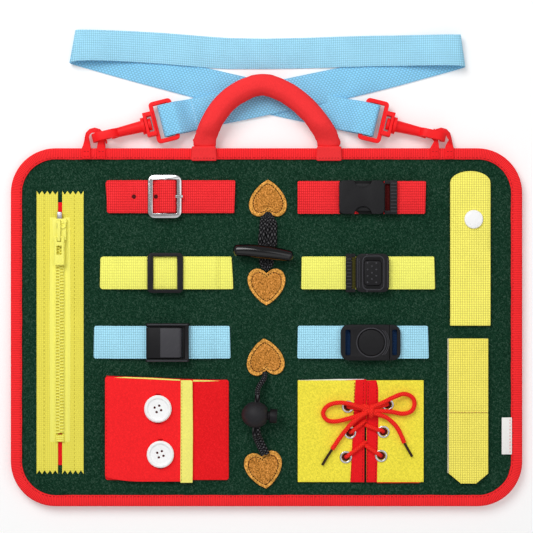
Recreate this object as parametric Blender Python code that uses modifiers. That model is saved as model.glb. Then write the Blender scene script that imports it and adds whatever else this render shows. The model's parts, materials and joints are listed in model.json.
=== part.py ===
"""Felt busy board: a bound felt panel with a carry handle, a shoulder strap and sixteen fastenings.

Metres, +Z up. The board lies face up. The origin is the centre of its back face, +X runs along
the board and +Y points to the handle. Every piece is a named object in the collection busy_board.
"""

import math

import bmesh
import bpy
from mathutils import Matrix, Vector

# Board. Places across the face are shares of its length
BOARD_LENGTH = 0.400
BOARD_WIDTH = 0.280
BOARD_CORNER = 0.035
BACK_THICK = 0.0020
CORE_THICK = 0.0027
FRONT_THICK = 0.0020
BINDING_REACH = 0.0088
BINDING_THICK = 0.0012
BINDING_ROUND = 0.0008
GAP = 0.0003
OVERRUN = 0.0010
CORNER_STEPS = 8
MITRE_LEAST_SHARE = 0.3
WELD = 0.00001

# Webbing that several rows share
WEBBING_WIDTH = 0.0252
WEBBING_THICK = 0.0012

# Levels, worked out from the layers
CORE_BASE = BACK_THICK + GAP
FRONT_BASE = CORE_BASE + CORE_THICK + GAP
FACE = FRONT_BASE + FRONT_THICK
EDGE_TOP = FACE + GAP + BINDING_THICK
TOP_EDGE = BOARD_WIDTH / 2
LAYER_1 = FACE + GAP
LAYER_2 = LAYER_1 + WEBBING_THICK + GAP
LAYER_3 = LAYER_2 + WEBBING_THICK + GAP

# Carry handle
HANDLE_HALF_SPAN = 0.122 * BOARD_LENGTH
HANDLE_RISE = 0.0488
HANDLE_RADIUS = 0.02375 * BOARD_LENGTH
HANDLE_REST = 0.0132
HANDLE_FLAT_SHARE = 0.42
HANDLE_SOFT_RUN = 0.0190
HANDLE_END_LENGTH = 0.0100
HANDLE_END_THICK = 0.0036
HANDLE_END_WIDTH = 0.0196
HANDLE_PATH_SHARES = (
    (-1.00, 0.00), (-0.985, 0.12), (-0.94, 0.25), (-0.83, 0.48), (-0.645, 0.72),
    (-0.39, 0.90), (-0.08, 1.00), (0.215, 0.92), (0.48, 0.76), (0.74, 0.51),
    (0.92, 0.26), (0.99, 0.12), (1.00, 0.00),
)

# Tape tab loops
TAPE_WIDTH = 0.0066
TAPE_THICK = 0.0012
TAPE_SEWN = 0.0085
LOOP_LEFT_LEG = -0.35125 * BOARD_LENGTH
LOOP_RIGHT_LEG = 0.357 * BOARD_LENGTH
LOOP_REACH = 0.0150
LOOP_INNER_STEP = 0.0115
LOOP_TWIST_STEPS = 7

# Snap hooks and their frames, in a local frame along the hook with X towards the frame
HOOK_LEVEL = 0.0079
HOOK_LEFT_ASIDE = 0.0043
HOOK_LEFT_PLACE = (LOOP_LEFT_LEG + HOOK_LEFT_ASIDE, 0.0073)
HOOK_LEFT_ANGLE = math.radians(14.0)
HOOK_RIGHT_ASIDE = -0.0028
HOOK_RIGHT_PLACE = (LOOP_RIGHT_LEG + HOOK_RIGHT_ASIDE, 0.0080)
HOOK_RIGHT_ANGLE = math.radians(166.5)
EYE_LENGTH = 0.0220
EYE_HEIGHT = 0.0148
EYE_WALL = 0.0027
EYE_WIDTH = 0.0064
NOSE_ANGLE = 225.0
HOOK_SHAFT_RADIUS = 0.0037
HOOK_SHAFT_END_RADIUS = 0.0046
HOOK_SHAFT_END = 0.0400
HOOK_COLLAR_RADIUS = 0.0066
HOOK_COLLAR_LENGTH = 0.0024
SWIVEL_PIN_RADIUS = 0.0026
SWIVEL_HEAD_RADIUS = 0.0046
SWIVEL_HEAD_LENGTH = 0.0022
SWIVEL_PLATE = 0.0024
SWIVEL_BOX_LENGTH = 0.0094
SWIVEL_BOX_WIDTH = 0.0190
FRAME_THICK = 0.0040
FRAME_WIDTH = 0.0330
FRAME_BAR = 0.0032
FRAME_LENGTH = 0.0150
FRAME_CORNER = 0.0030
GATE_THICK = 0.0018
GATE_WIDTH = 0.0048
GATE_LENGTH = 0.0103
GATE_NUB_REACH = 0.0024

# Shoulder strap, laid out from the board's top edge
SLING_WIDTH = 0.0250
SLING_THICK = 0.0012
SLING_TURN_BACK = 0.0180
SLING_ASIDE_LEFT = -0.0108
SLING_ASIDE_RIGHT = 0.0090
SLING_LEFT_FOLD = (HOOK_LEFT_PLACE[0] + SLING_ASIDE_LEFT, 0.0722)
SLING_RIGHT_FOLD = (HOOK_RIGHT_PLACE[0] + SLING_ASIDE_RIGHT, 0.0702)
SLING_BACK_LEFT = (HOOK_LEFT_PLACE[0] + SLING_ASIDE_LEFT, 0.0800)
SLING_BACK_RIGHT = (HOOK_RIGHT_PLACE[0] + SLING_ASIDE_RIGHT, 0.0768)
SLING_BACK_MIDDLE = (0.0, 0.0752)
SLING_FOLD_RADIUS = 0.0042
SLING_FOLD_STEPS = 9
SLING_SETTLE_SHARE = 0.8
SLING_RISE_SHARES = (0.15, 0.22, 0.42, 0.55, 0.75)
SLING_LOW_SHARES = (0.25, 0.45, 0.75, 0.88)
SLING_FALL_SHARES = (0.12, 0.3, 0.6, 0.8)

# Zip
ZIP_PLACE = -0.403375 * BOARD_LENGTH
ZIP_TOP = 0.1066
ZIP_BOTTOM = -0.1148
ZIP_WIDTH = 0.0367
ZIP_TAPE_THICK = 0.0008
ZIP_SLIT = 0.0033
ZIP_SLOT_WIDTH = 0.0120
ZIP_SLOT_MARGIN = 0.0085
ZIP_PINKING = 0.0030
ZIP_PINKS = 4
CHAIN_TOP = 0.0790
CHAIN_BOTTOM = -0.0836
CHAIN_WIDTH = 0.0066
CHAIN_THICK = 0.0018
TOOTH_PITCH = 0.0036
TOOTH_REACH = 0.0011
STOP_LENGTH = 0.0055
STOP_WIDTH = 0.0070
STOP_THICK = 0.0024
SLIDER_TOP = 0.0848
SLIDER_LENGTH = 0.0168
SLIDER_WIDTH = 0.0104
SLIDER_NOSE_WIDTH = 0.0078
SLIDER_PLATE = 0.0014
SLIDER_WALL = 0.0013
SLIDER_NECK_WIDTH = 0.0024
SLIDER_NECK_LENGTH = 0.0034
BAIL_WIDTH = 0.0024
BAIL_LEG = 0.0016
BAIL_TOP = 0.0010
PULL_TOP = 0.0710
PULL_LENGTH = 0.0226
PULL_WIDTH = 0.0084
PULL_THICK = 0.0015
PULL_BAR = 0.0014
PULL_EYE_WIDTH = 0.0034
PULL_EYE_LENGTH = 0.0029
PULL_SLOT_WIDTH = 0.0040
PULL_SLOT_LENGTH = 0.0070
PULL_SLOT_SETBACK = 0.0030

# Row 1 left: belt with a centre-bar buckle
BELT_LEVEL = 0.1020
BELT_LEFT = -0.312 * BOARD_LENGTH
BELT_RIGHT = -0.062 * BOARD_LENGTH
BELT_FRAME_LEFT = -0.23075 * BOARD_LENGTH
BELT_FRAME_LENGTH = 0.0261
BELT_FRAME_WIDTH = 0.0336
BELT_FRAME_THICK = 0.0024
BELT_BAR = 0.0037
BELT_CENTRE_BAR = 0.0024
BELT_FRAME_CORNER = 0.0050
BELT_HOLE_RADIUS = 0.0017
BELT_HOLE_SETBACKS = (0.0214,)
BELT_PRONG_WIDTH = 0.0024
BELT_PRONG_THICK = 0.0012
BELT_PRONG_OVERHANG = 0.0012
BELT_SLOT_WIDTH = 0.0032
BELT_BEND_RUN = 0.0006

# Row 2 left: strap with a sliding tri-glide
GLIDE_LEVEL = 0.0425
GLIDE_LEFT = -0.325 * BOARD_LENGTH
GLIDE_RIGHT = -0.0665 * BOARD_LENGTH
GLIDE_SEWN = 0.0090
GLIDE_SLOPE = 0.0045
GLIDE_FRAME_PLACE = -0.19725 * BOARD_LENGTH
GLIDE_FRAME_LENGTH = 0.0278
GLIDE_FRAME_WIDTH = 0.0312
GLIDE_BAR = 0.0045
GLIDE_CENTRE_THICK = 0.0015
GLIDE_OUTER_THICK = 0.0021
GLIDE_CORNER = 0.0035

# Row 3 left: strap with a cam buckle
CAM_LEVEL = -0.0117
CAM_LEFT = -0.33725 * BOARD_LENGTH
CAM_RIGHT = -0.071 * BOARD_LENGTH
CAM_SEWN = 0.0100
CAM_SLOPE = 0.0060
CAM_FRAME_LEFT = -0.234375 * BOARD_LENGTH
CAM_FRAME_LENGTH = 0.03355
CAM_FRAME_WIDTH = 0.0297
CAM_FLOOR = 0.0015
CAM_WALL_HEIGHT = 0.0088
CAM_LEVER_LENGTH = 0.02795
CAM_LEVER_WIDTH = 0.0236
CAM_LEVER_THICK = 0.0034
CAM_RADIUS = 0.0028
CAM_PIN_RADIUS = 0.0010
CAM_PIN_GRIP = 0.0020
CAM_BRIDGE_LENGTH = 0.0030

# Right-hand buckles, which share their levels
TONGUE_THICK = 0.0019
ROOF_THICK = 0.0017
BUCKLE_BAR_THICK = 0.0036
STRAP_REACH = 0.0040

# Row 1 right: side-release buckle
CLIP_LEVEL = 0.1014
CLIP_LEFT = 0.06075 * BOARD_LENGTH
CLIP_RIGHT = 0.31025 * BOARD_LENGTH
SOCKET_LEFT = 0.14125 * BOARD_LENGTH
SOCKET_LENGTH = 0.0351
SOCKET_WIDTH = 0.0262
SOCKET_WALL = 0.0022
SOCKET_CORNER = 0.0040
SOCKET_END = 0.0045
NOTCH_RADIUS = 0.0070
NOTCH_SETBACK = 0.0185
NOTCH_DEPTH = 0.0060
PLUG_GAP = 0.0045
PLUG_BAR = 0.0055
PLUG_ARM_LENGTH = 0.0270
PLUG_ARM_WIDTH = 0.0050
PLUG_GUIDE_WIDTH = 0.0046
PLUG_GUIDE_LENGTH = 0.0190
PLUG_ROOT = 0.0050
PLUG_RAIL = 0.0027

# Row 2 right: centre-release buckle
PRESS_LEVEL = 0.0425
PRESS_LEFT = 0.06825 * BOARD_LENGTH
PRESS_RIGHT = 0.328 * BOARD_LENGTH
PRESS_BODY_LEFT = 0.17375 * BOARD_LENGTH
PRESS_BODY_LENGTH = 0.0258
PRESS_BODY_WIDTH = 0.0299
PRESS_BODY_CORNER = 0.0045
PRESS_WINDOW_LENGTH = 0.0141
PRESS_WINDOW_WIDTH = 0.0197
PRESS_WINDOW_SETBACK = 0.0060
PRESS_BUTTON_RISE = 0.0012
PRESS_WINDOW_CORNER = 0.0030
TONGUE_BAR = 0.0046
TONGUE_SLOT = 0.0032
TONGUE_LENGTH = 0.0200
TONGUE_WIDTH = 0.0190

# Row 3 right: round-button buckle
ROUND_LEVEL = -0.0116
ROUND_LEFT = 0.06075 * BOARD_LENGTH
ROUND_RIGHT = 0.31575 * BOARD_LENGTH
ROUND_BODY_LEFT = 0.1445 * BOARD_LENGTH
ROUND_BODY_LENGTH = 0.0375
ROUND_TONGUE_REACH = 0.0087
ROUND_BODY_WIDTH = 0.0277
ROUND_BODY_CORNER = 0.0060
ROUND_BUTTON_SETBACK = 0.0235
ROUND_BUTTON_PLACE = ROUND_BODY_LEFT + ROUND_BUTTON_SETBACK
ROUND_BUTTON_RADIUS = 0.0101
ROUND_SLOT_SETBACK = 0.0035
ROUND_SLOT_LENGTH = 0.0040
ROUND_SLOT_WIDTH = 0.0200
ROUND_TONGUE_SLOT = 0.0037
ROUND_TONGUE_EDGE = 0.0028

# Hearts
HEART_WIDTH = 0.0295
HEART_HEIGHT = 0.0288
HEART_THICK = 0.0020
HEART_SHARES = (
    (0.0, 1.0), (0.335, 0.78), (0.63, 0.475), (0.861, 0.14), (0.982, -0.20), (1.0, -0.456), (0.92, -0.733),
    (0.762, -0.911), (0.52, -1.0), (0.295, -0.956), (0.112, -0.85), (0.0, -0.733),
)
HEART_PLACES = (
    (0.0011, 0.1010, 0.0), (0.0000, 0.0315, 180.0), (-0.0010, -0.0230, 4.0), (-0.0020, -0.1117, 188.0),
)

# Toggle and its cords
TOGGLE_PLACE = (-0.0026, 0.05875)
TOGGLE_ANGLE = math.radians(-5.0)
TOGGLE_LENGTH = 0.0460
TOGGLE_RADIUS = 0.0050
TOGGLE_BOW = 0.0012
TOGGLE_PROFILE_SHARES = ((0.55, 1.0), (0.72, 0.965), (0.80, 0.85), (0.93, 0.5), (1.0, 0.14))
BUNDLE_THICK = 0.0030
BUNDLE_EDGE = (
    (0.0011, 0.0888), (0.0027, 0.0873), (0.0040, 0.0857), (0.0064, 0.0805), (0.0072, 0.0740), (0.0072, 0.0655),
    (0.0046, 0.0624),
)
LOOP_CORD_RADIUS = 0.0015
LOOP_CORD_ROUTE = (
    (0.0020, 0.0470), (0.0036, 0.0496), (0.0042, 0.0530), (0.0034, 0.0572), (0.0013, 0.0591),
)

# Cord lock and its cord
LOCK_PLACE = (-0.0080, -0.0673)
LOCK_RADIUS = 0.01025
LOCK_SLANT = 0.0765
CORD_RADIUS = 0.0020
LOCK_BORE_CLEARANCE = 0.0004
PLUNGER_RADIUS = 0.0055
PLUNGER_HEAD = 0.0056
PLUNGER_STEM_RADIUS = 0.0034
PLUNGER_STEM = 0.0068
PLUNGER_TRAVEL = 0.0036
CORD_STRAIGHT = 0.0158
CORD_UPPER = ((-0.0013, -0.0382), (-0.0040, -0.0440))
CORD_LOWER = ((-0.0072, -0.0905), (-0.0040, -0.0955), (-0.0016, -0.0992))
CORD_STRAND_STEP = 0.0036
CORD_SECOND_SHARE = 0.95

# Button patch
FLAP_LEFT = -0.31475 * BOARD_LENGTH
FLAP_RIGHT = -0.1445 * BOARD_LENGTH
FLAP_TOP = -0.0383
FLAP_HEIGHT = 0.0820
FLAP_THICK = 0.0016
UNDERLAP_RIGHT = -0.07375 * BOARD_LENGTH
UNDERLAP_TOP = -0.0410
UNDERLAP_HEIGHT = 0.0783
UNDERLAP_THICK = 0.0016
FLAP_CORNER = 0.0020
BUTTON_RADIUS = 0.01075
BUTTON_THICK = 0.0030
BUTTON_DISH = 0.0010
BUTTON_RIM = 0.0022
BUTTON_HOLE_RADIUS = 0.0010
BUTTON_HOLE_SPREAD = 0.0019
BUTTON_SHANK_RADIUS = 0.0014
BUTTONHOLE_LENGTH = 0.0230
BUTTONHOLE_WIDTH = 0.0036
BUTTON_PLACES = ((-0.21125 * BOARD_LENGTH, -0.0633), (-0.2065 * BOARD_LENGTH, -0.0987))

# Lacing patch
LACE_PATCH_LEFT = 0.061 * BOARD_LENGTH
LACE_PATCH_RIGHT = 0.30675 * BOARD_LENGTH
LACE_PATCH_TOP = -0.0414
LACE_PATCH_HEIGHT = 0.0795
LACE_SLIT = 0.193 * BOARD_LENGTH
LACE_SLIT_WIDTH = 0.0016
LACE_PANEL_THICK = 0.0018
EYELET_RADIUS = 0.0050
EYELET_HOLE_RADIUS = 0.0032
EYELET_RISE = 0.0008
EYELETS_LEFT = (
    (0.15875 * BOARD_LENGTH, -0.0619),
    (0.163 * BOARD_LENGTH, -0.0822),
    (0.15475 * BOARD_LENGTH, -0.1013),
)
EYELETS_RIGHT = (
    (0.23625 * BOARD_LENGTH, -0.0603),
    (0.22825 * BOARD_LENGTH, -0.0815),
    (0.22375 * BOARD_LENGTH, -0.1003),
)
LACE_RADIUS = 0.0017
LACE_PULLED_SHARE = 0.9
LACE_LIFT = 0.0030
KNOT_PLACE = (0.19825 * BOARD_LENGTH, -0.0640)
KNOT_RADII = (0.0056, 0.0042, 0.0034)
LACE_LEFT_LOOP = (
    (0.0770, -0.0630), (0.0700, -0.0608), (0.0638, -0.0590), (0.0558, -0.0584), (0.0480, -0.0608),
    (0.0440, -0.0665), (0.0470, -0.0720), (0.0538, -0.0732), (0.0638, -0.0708), (0.0720, -0.0680),
    (0.0780, -0.0655),
)
LACE_RIGHT_LOOP = (
    (0.0810, -0.0620), (0.0880, -0.0592), (0.0975, -0.0546), (0.1063, -0.0516), (0.1130, -0.0539),
    (0.1153, -0.0593), (0.1130, -0.0650), (0.1063, -0.0672), (0.0975, -0.0656), (0.0880, -0.0648),
    (0.0810, -0.0645),
)
LACE_LEFT_TAIL = (
    (0.0780, -0.0660), (0.0728, -0.0690), (0.0659, -0.0748), (0.0585, -0.0841), (0.0511, -0.0949),
    (0.0435, -0.1073),
)
LACE_RIGHT_TAIL = (
    (0.0810, -0.0655), (0.0880, -0.0680), (0.0941, -0.0705), (0.1009, -0.0768), (0.1049, -0.0841),
    (0.1073, -0.0898), (0.1135, -0.1006),
)

# Snap strap and grip strap
SNAP_LEFT = 0.3585 * BOARD_LENGTH
SNAP_WIDTH = 0.0314
SNAP_BOTTOM = 0.0013
SNAP_LENGTH = 0.1207
SNAP_SHOULDER = 0.0090
SNAP_THICK = 0.0014
SNAP_SEWN = 0.0060
SNAP_STUD_SETBACK = 0.0181
SNAP_PLACE = (SNAP_LEFT + SNAP_STUD_SETBACK, 0.0843)
SNAP_RADIUS = 0.00735
SNAP_CAP_THICK = 0.0022
SNAP_POST_RADIUS = 0.0022
SNAP_END_STEPS = 6
SNAP_CROWN_SHARES = ((0.5, 0.95), (0.95, 0.7))
GRIP_LEFT = 0.3555 * BOARD_LENGTH
GRIP_WIDTH = 0.0308
GRIP_TOP = -0.0087
GRIP_SEAM = -0.0668
GRIP_LENGTH = 0.1131
GRIP_CHAMFER_RUN = 0.0094
GRIP_CHAMFER_RISE = 0.0078
GRIP_THICK = 0.0015
GRIP_INSET = 0.0015

COLOURS = {
    "green_felt": ((0.010, 0.062, 0.030), 0.95, 0.0),
    "grey_core": ((0.55, 0.54, 0.50), 0.90, 0.0),
    "red_tape": ((0.78, 0.018, 0.024), 0.80, 0.0),
    "red_plastic": ((0.80, 0.020, 0.026), 0.38, 0.0),
    "blue_webbing": ((0.245, 0.60, 0.90), 0.80, 0.0),
    "yellow_webbing": ((0.92, 0.86, 0.085), 0.80, 0.0),
    "yellow_felt": ((0.90, 0.80, 0.070), 0.95, 0.0),
    "tan_felt": ((0.56, 0.205, 0.035), 0.95, 0.0),
    "black_plastic": ((0.020, 0.019, 0.021), 0.35, 0.0),
    "black_cord": ((0.018, 0.017, 0.019), 0.85, 0.0),
    "silver": ((0.72, 0.72, 0.72), 0.25, 1.0),
    "white_plastic": ((0.86, 0.86, 0.85), 0.35, 0.0),
    "pale_hook": ((0.80, 0.78, 0.60), 0.90, 0.0),
}


def clear_scene():
    for thing in list(bpy.data.objects):
        bpy.data.objects.remove(thing, do_unlink=True)


def new_collection(name):
    made = bpy.data.collections.new(name)
    bpy.context.scene.collection.children.link(made)
    return made


def material(name):
    found = bpy.data.materials.get(name)
    if found:
        return found
    colour, roughness, metallic = COLOURS[name]
    made = bpy.data.materials.new(name)
    made.use_nodes = True
    shader = made.node_tree.nodes["Principled BSDF"]
    shader.inputs["Base Color"].default_value = (*colour, 1.0)
    shader.inputs["Roughness"].default_value = roughness
    shader.inputs["Metallic"].default_value = metallic
    made.diffuse_color = (*colour, 1.0)
    return made


# Outlines in a plane, as lists of (across, up) points


def arc(centre, radius, start, end, steps):
    """Points on a circle from one angle to another, in degrees."""
    angles = [math.radians(start + (end - start) * i / steps) for i in range(steps + 1)]
    return [(centre[0] + radius * math.cos(a), centre[1] + radius * math.sin(a)) for a in angles]


def circle(centre, radius, steps=20):
    return arc(centre, radius, 0, 360, steps)[:-1]


def box(left, bottom, right, top, corner=0.0, steps=4):
    """A rectangle, with round corners if a corner radius is given."""
    if not corner:
        return [(left, bottom), (right, bottom), (right, top), (left, top)]
    inner = ((right - corner, top - corner), (left + corner, top - corner),
             (left + corner, bottom + corner), (right - corner, bottom + corner))
    points = []
    for turn, centre in enumerate(inner):
        points += arc(centre, corner, 90 * turn, 90 * turn + 90, steps)
    return points


def about(centre, width, height, corner=0.0, steps=4):
    """A rectangle about a centre."""
    across, up = centre
    return box(across - width / 2, up - height / 2, across + width / 2, up + height / 2, corner, steps)


def ribbon(path, thick):
    """The outline of a strip of even thickness that follows a path."""
    left, right = [], []
    for i, point in enumerate(path):
        here = Vector(point)
        before = (here - Vector(path[i - 1])).normalized() if i else None
        after = (Vector(path[i + 1]) - here).normalized() if i + 1 < len(path) else None
        before = before or after
        after = after or before
        normal = Vector((-before.y - after.y, before.x + after.x)).normalized()
        reach = thick / 2 / max(normal.dot(Vector((-before.y, before.x))), MITRE_LEAST_SHARE)
        left.append(tuple(here + normal * reach))
        right.append(tuple(here - normal * reach))
    return left + right[::-1]


def smooth_path(points, per_span):
    """A Catmull-Rom curve through points of two or three numbers."""
    held = [Vector(p) for p in points]
    held = [held[0] * 2 - held[1]] + held + [held[-1] * 2 - held[-2]]
    path = []
    for i in range(1, len(held) - 2):
        a, b, c, d = held[i - 1:i + 3]
        for step in range(per_span):
            t = step / per_span
            path.append((b * 2 + (c - a) * t + (a * 2 - b * 5 + c * 4 - d) * t * t
                         + (b * 3 - a - c * 3 + d) * t * t * t) / 2)
    path.append(held[-2])
    return path


# Solids


def keep(name, mesh, look, collection=None):
    made = bpy.data.objects.new(name, mesh)
    mesh.materials.clear()
    mesh.materials.append(material(look))
    (collection or PARTS).objects.link(made)
    return made


def mesh_of(curve_object):
    """A curve's evaluated mesh with its caps welded; the curve is removed."""
    bpy.context.view_layer.update()
    graph = bpy.context.evaluated_depsgraph_get()
    mesh = bpy.data.meshes.new_from_object(curve_object.evaluated_get(graph))
    shape = bmesh.new()
    shape.from_mesh(mesh)
    bmesh.ops.remove_doubles(shape, verts=shape.verts, dist=WELD)
    bmesh.ops.recalc_face_normals(shape, faces=shape.faces)
    shape.to_mesh(mesh)
    shape.free()
    data = curve_object.data
    bpy.data.objects.remove(curve_object, do_unlink=True)
    bpy.data.curves.remove(data)
    return mesh


def add_splines(curve, loops, cyclic):
    for loop in loops:
        spline = curve.splines.new("POLY")
        spline.points.add(len(loop) - 1)
        for point, place in zip(spline.points, loop):
            place = tuple(place)
            point.co = (*place, *([0.0] * (3 - len(place))), 1.0)
        spline.use_cyclic_u = cyclic


def slab(name, loops, low, high, look, collection=None):
    """A flat outline with its holes, standing from one height to another."""
    curve = bpy.data.curves.new(name, "CURVE")
    curve.dimensions = "2D"
    curve.fill_mode = "BOTH"
    curve.extrude = (high - low) / 2
    add_splines(curve, loops, True)
    flat = bpy.data.objects.new(name, curve)
    PARTS.objects.link(flat)
    mesh = mesh_of(flat)
    mesh.transform(Matrix.Translation((0, 0, (low + high) / 2)))
    return keep(name, mesh, look, collection)


def side_slab(name, loops, middle, width, look, collection=None):
    """An outline in X and Z, as wide along Y as given, about a middle."""
    made = slab(name, loops, -width / 2, width / 2, look, collection)
    made.data.transform(Matrix.Translation((0, middle, 0)) @ Matrix.Rotation(math.pi / 2, 4, "X"))
    return made


def tube(name, path, radius, look, resolution=2, radii=None, collection=None):
    """A round cord or bar along a path, with filled ends."""
    curve = bpy.data.curves.new(name, "CURVE")
    curve.dimensions = "3D"
    curve.bevel_depth = radius
    curve.bevel_resolution = resolution
    curve.use_fill_caps = True
    add_splines(curve, [path], False)
    if radii:
        for point, share in zip(curve.splines[0].points, radii):
            point.radius = share
    line = bpy.data.objects.new(name, curve)
    PARTS.objects.link(line)
    return keep(name, mesh_of(line), look, collection)


def turned(name, profile, look, steps=24, collection=None):
    """A profile of (radius, height) points, top to bottom on its outer side, turned round Z."""
    mesh = bpy.data.meshes.new(name)
    shape = bmesh.new()
    corners = [shape.verts.new((across, 0, up)) for across, up in profile]
    for first, second in zip(corners, corners[1:]):
        shape.edges.new((first, second))
    shape.to_mesh(mesh)
    shape.free()
    made = keep(name, mesh, look, collection)
    screw = made.modifiers.new("turn", "SCREW")
    screw.steps = screw.render_steps = steps
    screw.use_merge_vertices = True
    screw.merge_threshold = WELD
    return made


def ball(name, radii, look, across=16, up=10):
    """An ellipsoid about the origin."""
    mesh = bpy.data.meshes.new(name)
    shape = bmesh.new()
    bmesh.ops.create_uvsphere(shape, u_segments=across, v_segments=up, radius=1.0)
    bmesh.ops.scale(shape, vec=radii, verts=shape.verts)
    shape.to_mesh(mesh)
    shape.free()
    return keep(name, mesh, look)


def cutter(made):
    """Makes an object a helper that renders leave out."""
    for home in list(made.users_collection):
        home.objects.unlink(made)
    CUTTERS.objects.link(made)
    made.hide_render = True
    made.display_type = "WIRE"
    return made


def combine(target, other, operation):
    link = target.modifiers.new(other.name, "BOOLEAN")
    link.operation = operation
    link.solver = "EXACT"
    link.object = cutter(other)
    return target


def cut(target, *others):
    for other in others:
        combine(target, other, "DIFFERENCE")
    return target


def fuse(target, *others):
    for other in others:
        combine(target, other, "UNION")
    return target


def helper(target, part):
    return f"{target.name}_{part}"


def soften(made, width, segments=1, angle=50.0):
    """Rounds the sharp edges."""
    bevel = made.modifiers.new("round", "BEVEL")
    bevel.width = width
    bevel.segments = segments
    bevel.limit_method = "ANGLE"
    bevel.angle_limit = math.radians(angle)
    return made


def move(things, place, turn=0.0):
    """Turns things about Z and puts them at a place, with what they had before kept."""
    there = Matrix.Translation(place) @ Matrix.Rotation(turn, 4, "Z")
    for thing in things:
        thing.matrix_basis = there @ thing.matrix_basis


def set_origin(made, place):
    """Moves an object's origin onto its joint, with its shape where it was."""
    there = Vector(place)
    shift = made.matrix_basis.inverted() @ there
    made.data.transform(Matrix.Translation(-shift))
    made.matrix_basis = made.matrix_basis @ Matrix.Translation(shift)


def smooth(made, angle=35.0):
    made.data.shade_smooth()
    made.data.set_sharp_from_angle(angle=math.radians(angle))
    return made


# The board


def board_outline(inset):
    return box(-BOARD_LENGTH / 2 + inset, -BOARD_WIDTH / 2 + inset, BOARD_LENGTH / 2 - inset,
               BOARD_WIDTH / 2 - inset, BOARD_CORNER - inset, CORNER_STEPS)


def build_panels():
    edge = BINDING_THICK + GAP
    lip = BINDING_REACH + GAP
    back = slab("back_felt", [board_outline(edge)], edge, BACK_THICK, "green_felt")
    fuse(back, slab("back_felt_middle", [board_outline(lip)], 0, BACK_THICK, "green_felt"))
    slab("core_board", [board_outline(edge)], CORE_BASE, CORE_BASE + CORE_THICK, "grey_core")
    slot = box(ZIP_PLACE - ZIP_SLOT_WIDTH / 2, ZIP_BOTTOM + ZIP_SLOT_MARGIN,
               ZIP_PLACE + ZIP_SLOT_WIDTH / 2, ZIP_TOP - ZIP_SLOT_MARGIN)
    slab("front_felt", [board_outline(edge), slot], FRONT_BASE, FACE, "green_felt")


def build_binding():
    binding = slab("edge_binding", [board_outline(0), board_outline(BINDING_REACH)], 0, EDGE_TOP, "red_tape")
    groove = slab("binding_groove", [board_outline(BINDING_THICK), board_outline(BINDING_REACH + OVERRUN)],
                  BINDING_THICK, EDGE_TOP - BINDING_THICK, "red_tape")
    cut(binding, groove)
    for side, name in ((-1, "left"), (1, "right")):
        pad = box(side * HANDLE_HALF_SPAN - HANDLE_END_WIDTH / 2, TOP_EDGE - HANDLE_END_LENGTH,
                  side * HANDLE_HALF_SPAN + HANDLE_END_WIDTH / 2, TOP_EDGE, BINDING_ROUND)
        fuse(binding, slab(f"handle_pad_{name}", [pad], EDGE_TOP - BINDING_THICK / 2,
                           EDGE_TOP + HANDLE_END_THICK, "red_tape"))
    soften(binding, BINDING_ROUND, 1, 60)


def handle_hinge():
    return Vector((0, TOP_EDGE + GAP / 2, EDGE_TOP + HANDLE_END_THICK))


def build_handle():
    start = TOP_EDGE + GAP
    centres = smooth_path(HANDLE_PATH_SHARES, 3)
    path = [(c.x * HANDLE_HALF_SPAN, start + c.y * HANDLE_RISE, HANDLE_REST) for c in centres]
    handle = tube("carry_handle", path, HANDLE_RADIUS, "red_tape", 3)
    top = handle_hinge().z
    for corner in handle.data.vertices:
        corner.co.y = max(corner.co.y, start)
        run = min(max((corner.co.y - start) / HANDLE_SOFT_RUN, 0), 1)
        ease = run * run * (3 - 2 * run)
        flat = HANDLE_FLAT_SHARE + (1 - HANDLE_FLAT_SHARE) * ease
        middle = top - HANDLE_RADIUS * HANDLE_FLAT_SHARE
        middle += (HANDLE_REST - middle) * ease
        corner.co.z = middle + (corner.co.z - HANDLE_REST) * flat
    set_origin(smooth(handle), handle_hinge())


def strip(name, stations, width, thick, look):
    """A flat strip through stations of (centre, direction across), as a surface given thickness."""
    mesh = bpy.data.meshes.new(name)
    shape = bmesh.new()
    rows = []
    for centre, across in stations:
        reach = Vector(across).normalized() * width / 2
        rows.append([shape.verts.new(Vector(centre) - reach), shape.verts.new(Vector(centre) + reach)])
    for (a, b), (c, d) in zip(rows, rows[1:]):
        shape.faces.new((a, b, d, c))
    shape.to_mesh(mesh)
    shape.free()
    made = keep(name, mesh, look)
    shell = made.modifiers.new("thick", "SOLIDIFY")
    shell.thickness = thick
    shell.offset = 0
    return made


def build_tab_loops():
    flat = EDGE_TOP + GAP + TAPE_THICK / 2
    for side, leg, name in ((1, LOOP_LEFT_LEG, "left"), (-1, LOOP_RIGHT_LEG, "right")):
        points, turns = [], []
        far = leg + side * LOOP_INNER_STEP
        top = TOP_EDGE + LOOP_REACH
        middle = (leg + far) / 2
        points += [(leg, TOP_EDGE - TAPE_SEWN, flat), (leg, TOP_EDGE + GAP, flat)]
        turns += [0, 0]
        for i in range(LOOP_TWIST_STEPS):
            angle = math.pi * (1 - i / (LOOP_TWIST_STEPS - 1))
            reach = LOOP_INNER_STEP / 2
            ahead = math.sin(angle) * reach
            points.append((middle + side * math.cos(angle) * reach, top - reach + ahead, HOOK_LEVEL))
            turns.append(angle)
        points += [(far, TOP_EDGE + GAP, flat), (far, TOP_EDGE - TAPE_SEWN, flat)]
        turns += [0, 0]
        stations = []
        for i, (point, turn) in enumerate(zip(points, turns)):
            upright = 2 <= i < len(points) - 2
            stations.append((point, (0, 0, 1) if upright else (1 if i < 2 else -1, 0, 0)))
        strip(f"tab_loop_{name}", stations, TAPE_WIDTH, TAPE_THICK, "red_tape")


# The snap hooks


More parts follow.
